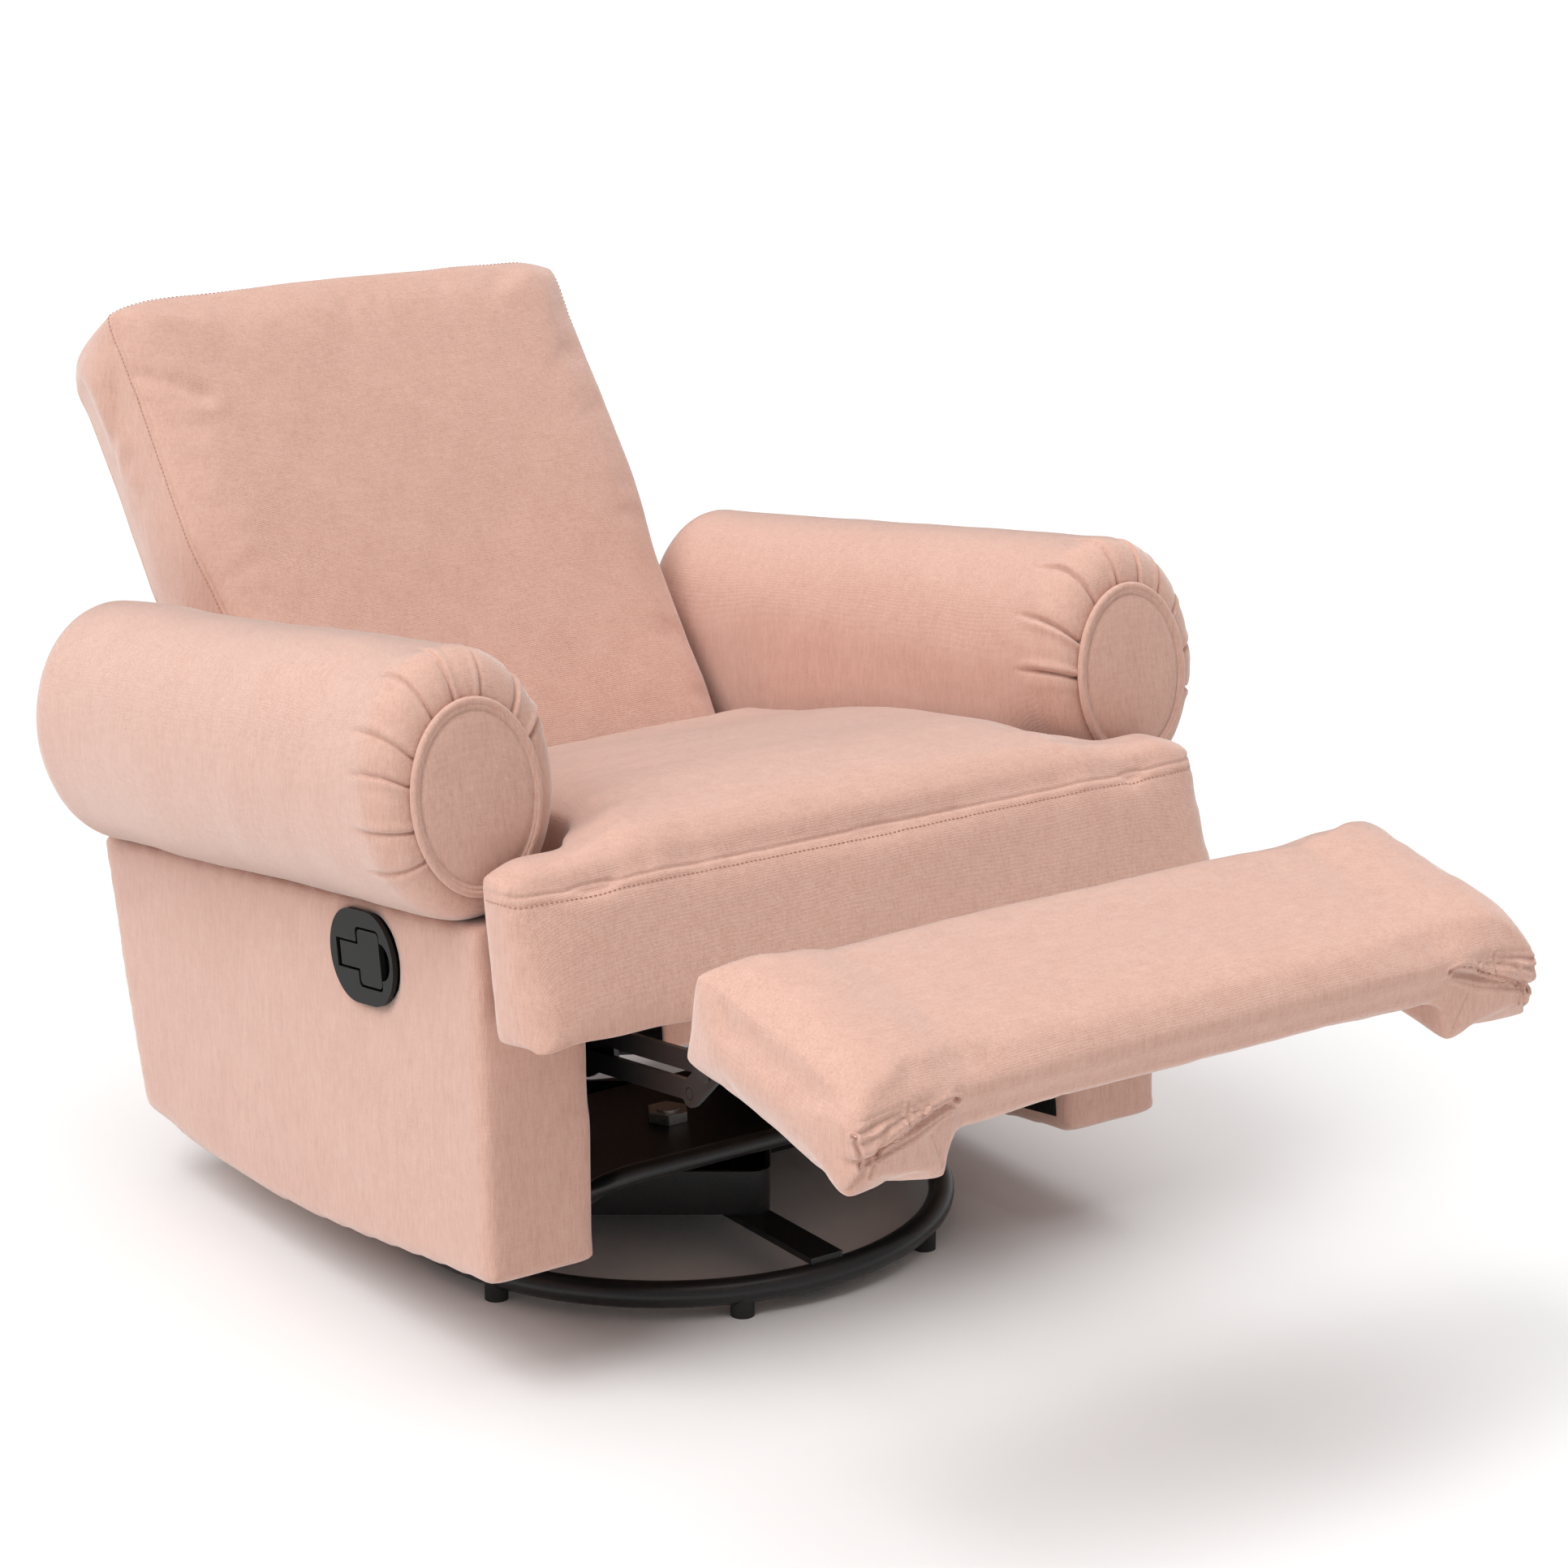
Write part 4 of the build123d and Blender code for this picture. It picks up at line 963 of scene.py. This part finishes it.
def make_panels():
    """The upholstered sides below the rolls, and the rear panel.  The sides' tops draw back inside the
    rolls, and the cloth round the release is spread from its pocket's middle to under its bezel."""
    for side, sign in SIDES:
        cover = cover_of(f"arm_panel_{side}", f"side_cover_{side}", 6.0, 6, 0.9, 40 + sign)
        x, y, z = turn_x(get_points(cover) / MM, -BODY_PITCH).T
        hidden = step(z, *PANEL_HIDDEN_Z)
        front_y, rear_y = PANEL_HIDDEN_Y
        x = sign * (np.abs(x) + hidden * np.maximum(0.0, PANEL_HIDDEN_X - np.abs(x)))
        y = y + hidden * (np.maximum(0.0, front_y - y) - np.maximum(0.0, y - rear_y))
        if sign < 0:
            y0, z0 = POCKET_CENTRE
            reach = np.hypot(np.maximum(np.abs(y - y0) - POCKET_STRAIGHT, 0.0), z - z0)
            wall = (reach > 26.0) & (reach < POCKET_RADIUS) & (x < BEZEL_SEAT_X)
            spread = np.where(wall, POCKET_RADIUS / np.maximum(reach, 1.0), 1.0)
            y, z = y0 + (y - y0) * spread, z0 + (z - z0) * spread
            x = x + 4.0 * ((reach < POCKET_RADIUS) & (x <= -340.0) & ~wall)
        set_points(cover, in_body(np.stack((x, y, z), -1)))
        dress(cover, "body", "blush_fabric", (f"arm_panel_{side}",))
    rear = cover_of("rear_panel", "rear_cover", 6.0, 5, 1.2, 50)
    dress(rear, "body", "blush_fabric", ("rear_panel",))


# ---------------------------------------------------------------- seat
SEAT_FRONT_Y = -424.0
WING_REAR_Y = -343.0
WING_HALF = 375.0
APRON_BOTTOM_Z = 284.0
SEAT_TOP_Z = 436.0
DECK_HALF = 256.0
DECK_REAR_Y = 166.0
DECK_BOTTOM_Z = 388.0
SEAT_CROWN = 36.0


def seat_blocks():
    """What fills the seat: the T's bar with its apron, the deck, and a wedge beside each disc."""
    x, top = WING_HALF - 3, SEAT_TOP_Z - 2
    front, rear, bottom = SEAT_FRONT_Y + 3, WING_REAR_Y - 2, APRON_BOTTOM_Z + 2
    wings = [(-x, front, bottom), (x, front, bottom), (x, rear, bottom), (-x, rear, bottom)]
    front += 26
    wings += [(-x, front, top), (x, front, top), (x, rear, top), (-x, rear, top)]
    deck = upright_box(-DECK_HALF, DECK_HALF, WING_REAR_Y - 20, DECK_REAR_Y, DECK_BOTTOM_Z, top)
    fillers = []
    for s in (-1, 1):
        plan = [(s * 250, -346), (s * 292, -346), (s * 268, -310), (s * 250, -298)][::s]
        fillers.append([(x, y, z) for z in (DECK_BOTTOM_Z, top) for x, y in plan])
    return [wings, deck, *fillers]


def make_seat():
    """The T-shaped cushion: a crowned deck whose front drops over a deep apron.

    The filled blocks gain a crown that goes as the root of one less the square of x, fades to the rear
    and drops at the front edge and the wings' ends.  The front's corners are quarter rounds, the apron
    bulges a little, and its foot waves as a sum of sines."""
    seat = stuffing("seat_pad", seat_blocks(), 7.0, 5)
    puff(seat, 6.0)
    subdivide(seat)
    x, y, z = (get_points(seat) / MM).T
    across = np.clip(1 - (x / 390.0) ** 2, 0, 1)
    crown = step(y, -450.0, -250.0) ** 0.8 * (1 - 0.9 * step(y, -180.0, 170.0))
    lift = step(z, 395.0, 432.0)
    front_edge = step(-y, 366.0, 404.0)
    wing_end = step(np.abs(x), 330.0, 374.0)
    z = z + lift * (SEAT_CROWN * np.sqrt(across) * crown + 2.0 - 9.0 * front_edge - 9.0 * wing_end)
    front = step(-y, 376.0, 404.0)
    y = y + front * quarter_inset(np.abs(x), 346.0, WING_HALF, 20.0)
    apron = bell(z - 350.0, 70.0) * step(-y, 380.0, 405.0)
    y = y - 4.0 * apron * across
    foot = 1 - step(z, 286.0, 318.0)
    wave = np.sin(x / 31.0 + 0.8) + 0.6 * np.sin(x / 13.0 + 2.0)
    z = z + foot * wave * 1.3 - 5.0 * foot * bell(np.abs(x) - 372.0, 24.0) * step(-y, 395.0, 420.0)
    y = y + foot * 2.2 * np.sin(x / 23.0 + 1.3)
    shape = uneven(seat, np.stack((x, y, z), -1), ((1.0, 190.0, 3), (0.35, 55.0, 4)))
    set_points(seat, in_body(shape))
    face_outward(seat)
    corners = [
        (-WING_HALF, WING_REAR_Y - 4, SEAT_TOP_Z - 12),
        (-WING_HALF, SEAT_FRONT_Y + 24, SEAT_TOP_Z - 14),
        (WING_HALF, SEAT_FRONT_Y + 24, SEAT_TOP_Z - 14),
        (WING_HALF, WING_REAR_Y - 4, SEAT_TOP_Z - 12),
    ]
    line = rounded_path(corners, 24.0)
    lower = line - np.array([0.0, 1.5, 8.5])
    sewn("seat_front_seam", seat, "body", in_body(line), second=in_body(lower))
    dress(seat, "body", "blush_fabric", ("seat_cushion",))


def make_flap():
    """A small cloth flap under the middle of the apron: a flat grid whose y gains two sines of x that
    grow towards its hem."""
    columns, rows = 90, 14
    x, t = np.meshgrid(np.linspace(-203, 203, columns), np.linspace(0, 1, rows))
    y = -345.5 + t * (1.4 * np.sin(x / 37.0) + 0.8 * np.sin(x / 15.0 + 1.0))
    z = 286.0 - 34.0 * t + t * 1.2 * np.sin(x / 60.0)
    points = in_body(np.stack((x, y, z), -1))
    flap = new_piece("front_flap", points, grid_faces(rows, columns, False))
    apply_modifier(flap, "SOLIDIFY", thickness=0.0016, offset=0.0)
    dress(flap, "body", "blush_fabric", ("seat_flap",))


# ---------------------------------------------------------------- backrest
BACK_HALF = 258.0
BACK_FRONT = -75.0
BACK_REAR = 66.0
BACK_HEIGHT = 575.0
BACK_TAIL = -116.0
ABOVE_ARMS = (215.0, 330.0)
BACK_CROWN = (440.0, 570.0)


def make_back():
    """The backrest: a thick crowned pillow with a boxed side, one with the padded outer back.

    The filled blocks gain a front that bulges as a product of two parabolas, sides that swell as a bell
    of y and widen above the arms, and a raised top that rolls over to the rear as a quarter round.  One
    soft fold crosses the lower corner of the crown."""
    wide, top = BACK_HALF - 4, BACK_HEIGHT - 8
    pillow = upright_box(-wide, wide, BACK_FRONT + 6, 4, -14, top)
    between = upright_box(-wide, wide, 0, 44, 30, top)
    outer = upright_box(-wide, wide, 42, BACK_REAR - 3, BACK_TAIL, top)
    back = stuffing("back_pad", [pillow, between, outer], 7.0, 7)
    puff(back, 9.0)
    subdivide(back)
    x, y, z = (get_points(back) / MM).T
    across = np.clip(1 - (x / 275.0) ** 2, 0, 1)
    height = np.clip(1 - ((z - 280.0) / 330.0) ** 2, 0, 1)
    front = step(-y, -10.0, 60.0)
    y = y - front * 13.0 * across * height
    fold = distance_to_segment(x, z, (-262.0, 513.0), (-196.0, 461.0))
    y = y + front * (2.6 * bell(fold, 6.0) - 1.6 * bell(fold - 15.0, 9.0))
    side = step(np.abs(x), 190.0, 252.0)
    x = x + np.sign(x) * step(np.abs(x), 150.0, 250.0) * 11.0 * step(z, *ABOVE_ARMS)
    free = step(z, 20.0, 90.0)
    boxing = 9.0 * bell(y - 2.0, 62.0) - quarter_inset(y, 26.0, BACK_REAR, 12.0)
    x = x + np.sign(x) * side * free * boxing
    dents = np.sin(z / 29.0 + 1.0) + 0.7 * np.sin(z / 13.0)
    x = x + np.sign(x) * side * free * 0.9 * dents * bell(y - 8.0, 34.0)
    y = y + 12.0 * step(y, 34.0, BACK_REAR) * free
    upper = step(z, *BACK_CROWN)
    corner = step(np.abs(x), 196.0, 262.0)
    roll_over = quarter_inset(y, 14.0, BACK_REAR + 8.0, 40.0)
    z = z + upper * (27.0 + 4.0 * across - 12.0 * corner**2 - roll_over)
    y = y + 5.0 * side * step(-y, 40.0, 74.0) * upper
    shape = uneven(back, np.stack((x, y, z), -1), ((1.5, 240.0, 11), (0.5, 70.0, 12)))
    set_points(back, in_back(shape))
    face_outward(back)
    half = BACK_HALF + 2
    for name, depth, second in (
        ("back_front_seam", BACK_FRONT + 9, 7.0),
        ("back_rear_seam", BACK_REAR - 8, None),
    ):
        plan = ((-half, 10), (-half, BACK_HEIGHT), (half, BACK_HEIGHT), (half, 10))
        line = rounded_path([(x, depth, z) for x, z in plan], 22.0)
        line[:, 0] *= 1 + 0.04 * step(line[:, 2], *ABOVE_ARMS)
        line[:, 2] += 20.0 * step(line[:, 2], *BACK_CROWN)
        after = None if second is None else in_back(line + np.array([0.0, second, 0.0]))
        sewn(name, back, "backrest", in_back(line), second=after)
    dress(back, "backrest", "blush_fabric", ("back_cushion", "back_outer"))


# ---------------------------------------------------------------- footrest
REST_HALF = 360.0
REST_DEPTH = 114.0
BLOCK_WIDTH = 102.0
REST_END = (300.0, 362.0)
REST_CREASES = (
    (((334, 4), (310, 13), (286, 20.5), (270, 26), (253, 29.5)), 0.0042),
    (((342, -2), (312, 6.5), (282, 14), (258, 21)), 0.0016),
    (((362, 27), (353, 17), (346, 7), (344, -4)), 0.0042),
    (((276, 6), (264, -22)), 0.0014),
    (((333, -4), (335, -13)), 0.0020),
    (((300, 17), (303, 29), (301, 38)), 0.0018),
    (((288, 20), (290, 33)), 0.0014),
)


def make_footrest():
    """The footrest's cover: a bolster-like pad that rolls over the end blocks, gathered on their fronts.

    The filled blocks gain a top that falls away as the fourth power of y, with a swell before each end
    and a drop over it.  The blocks' fronts carry sine gathers under the edge, a slanting tuck and a dart,
    each a bell beside its line, and pressed creases."""
    depth = REST_DEPTH
    blocks = [upright_box(-REST_HALF + 3, REST_HALF - 3, -depth - 1, depth - 3, 3, 47)]
    for s in (-1, 1):
        ends = sorted((s * (REST_HALF - BLOCK_WIDTH + 2), s * (REST_HALF - 4)))
        blocks.append(upright_box(*ends, -depth - 1, depth - 4, -34, 20))
    cover = stuffing("footrest_pad_cover", blocks, 5.0, 6)
    puff(cover, 7.0)
    subdivide(cover)
    x, y, z = (get_points(cover) / MM).T
    top = step(z, 20.0, 42.0)
    round_over = (np.abs(y) / depth) ** 4
    forward, rearward = step(-y, -20.0, 80.0), step(y, -20.0, 80.0)
    z = z + top * (11.0 - 20.0 * round_over * forward - 10.0 * round_over * rearward)
    end = step(np.abs(x), *REST_END)
    z = z + top * 5.0 * (step(np.abs(x), 235.0, 285.0) - end * 1.7)
    z = z - top * 9.0 * end * step(-y, 40.0, 114.0)
    front = step(-y, 96.0, 112.0)
    block = step(np.abs(x), 254.0, 262.0)
    low = 1 - step(z, 8.0, 34.0)
    slant = np.abs(x) - 258.0
    gathers = np.sin(slant / 4.6 + 0.018 * z**2) * bell(z - 22.0, 14.0)
    y = y - front * block * gathers * 1.6
    tuck = z - (27.5 - 0.31 * slant)
    y = y + front * block * 5.0 * bell(tuck, 3.6) - front * block * 3.0 * bell(tuck - 9.0, 5.5)
    dart = np.abs(x) - (352.0 - 0.55 * (z + 28.0))
    y = y + front * block * low * 3.4 * bell(dart, 2.6) - front * block * low * 1.8 * bell(dart - 6.0, 4.0)
    middle = 1 - step(np.abs(x), 246.0, 258.0)
    under = 1 - step(z, 12.0, 30.0)
    y = y + front * middle * under * 4.0
    shape = uneven(cover, np.stack((x, y, z), -1), ((0.9, 150.0, 21), (0.35, 45.0, 22)))
    set_points(cover, in_rest(shape))
    face_outward(cover)
    for s in (-1, 1):
        for stroke, pressed in REST_CREASES:
            path = rounded_path([(s * x, -depth - 3.0, z) for x, z in stroke], 5.0, 1.2)
            places = onto(cover, in_rest(path))[0]
            refine_near(cover, places, 0.007)
            press_seam(cover, places, pressed, 0.0015, 0.3)
    nodes = ("footrest_pad", "footrest_block_left", "footrest_block_right")
    dress(cover, "footrest", "blush_fabric", nodes)


# ---------------------------------------------------------------- dust cloths
PANEL_GRID = 40


def cloth_panel(name, place, u_range, v_range, fixed, axis, stretch, rise=0.0):
    """A thin black cloth tacked flat at its edges: a flat grid that sags by a sine of u times a cosine
    of v, and less near its edges, as one less the sixth power of the way there.  Its low edge rises
    towards its far end."""
    u, v = np.linspace(*u_range, PANEL_GRID), np.linspace(*v_range, PANEL_GRID)
    across, down = np.meshgrid(u, v)
    down = down + rise * step(across, 0.0, u[-1]) * np.linspace(1, 0, PANEL_GRID)[:, None]
    edge = 1 - np.abs(np.linspace(-1, 1, PANEL_GRID)) ** 6
    waves = 0.5 + 0.5 * np.sin(across / 41.0) * np.cos(down / 33.0)
    columns = [across, down]
    columns.insert(axis, fixed + stretch * edge[None, :] * edge[:, None] * waves)
    faces = grid_faces(PANEL_GRID, PANEL_GRID, False)
    panel = new_piece(name, place(np.stack(columns, -1)), faces)
    apply_modifier(panel, "SOLIDIFY", thickness=0.0008, offset=0.0)
    return panel


def make_linings():
    """Black dust cloth on the insides of the arms and under the footrest board."""
    for side, sign in SIDES:
        name, inside = f"side_lining_{side}", sign * 259.8
        lining = cloth_panel(name, in_body, (-286, 325), (84, 296), inside, 0, -sign * 1.2, 36)
        dress(lining, "body", "black_cambric")
    under = cloth_panel("footrest_lining", in_rest, (-253, 253), (-90, 90), 5.0, 2, -1.6)
    dress(under, "footrest", "black_cambric")


# ---------------------------------------------------------------- assembly
def dress_frame():
    """Finishes for the CAD pieces that stay in view."""
    slots = {s["node"]: s["material_slot"] for s in frame["record"]["subparts"]}
    for name, node in frame["nodes"].items():
        finish = FINISHES[slots[name]]
        node.data.materials.clear()
        node.data.materials.append(finish)


make_camera()
make_studio()
dress_frame()
for side, sign in SIDES:
    make_roll(side, sign, PLEATS_LEFT if sign < 0 else PLEATS_RIGHT, 7 + sign)
    make_disc(side, sign)
make_panels()
make_seat()
make_flap()
make_back()
make_footrest()
make_linings()
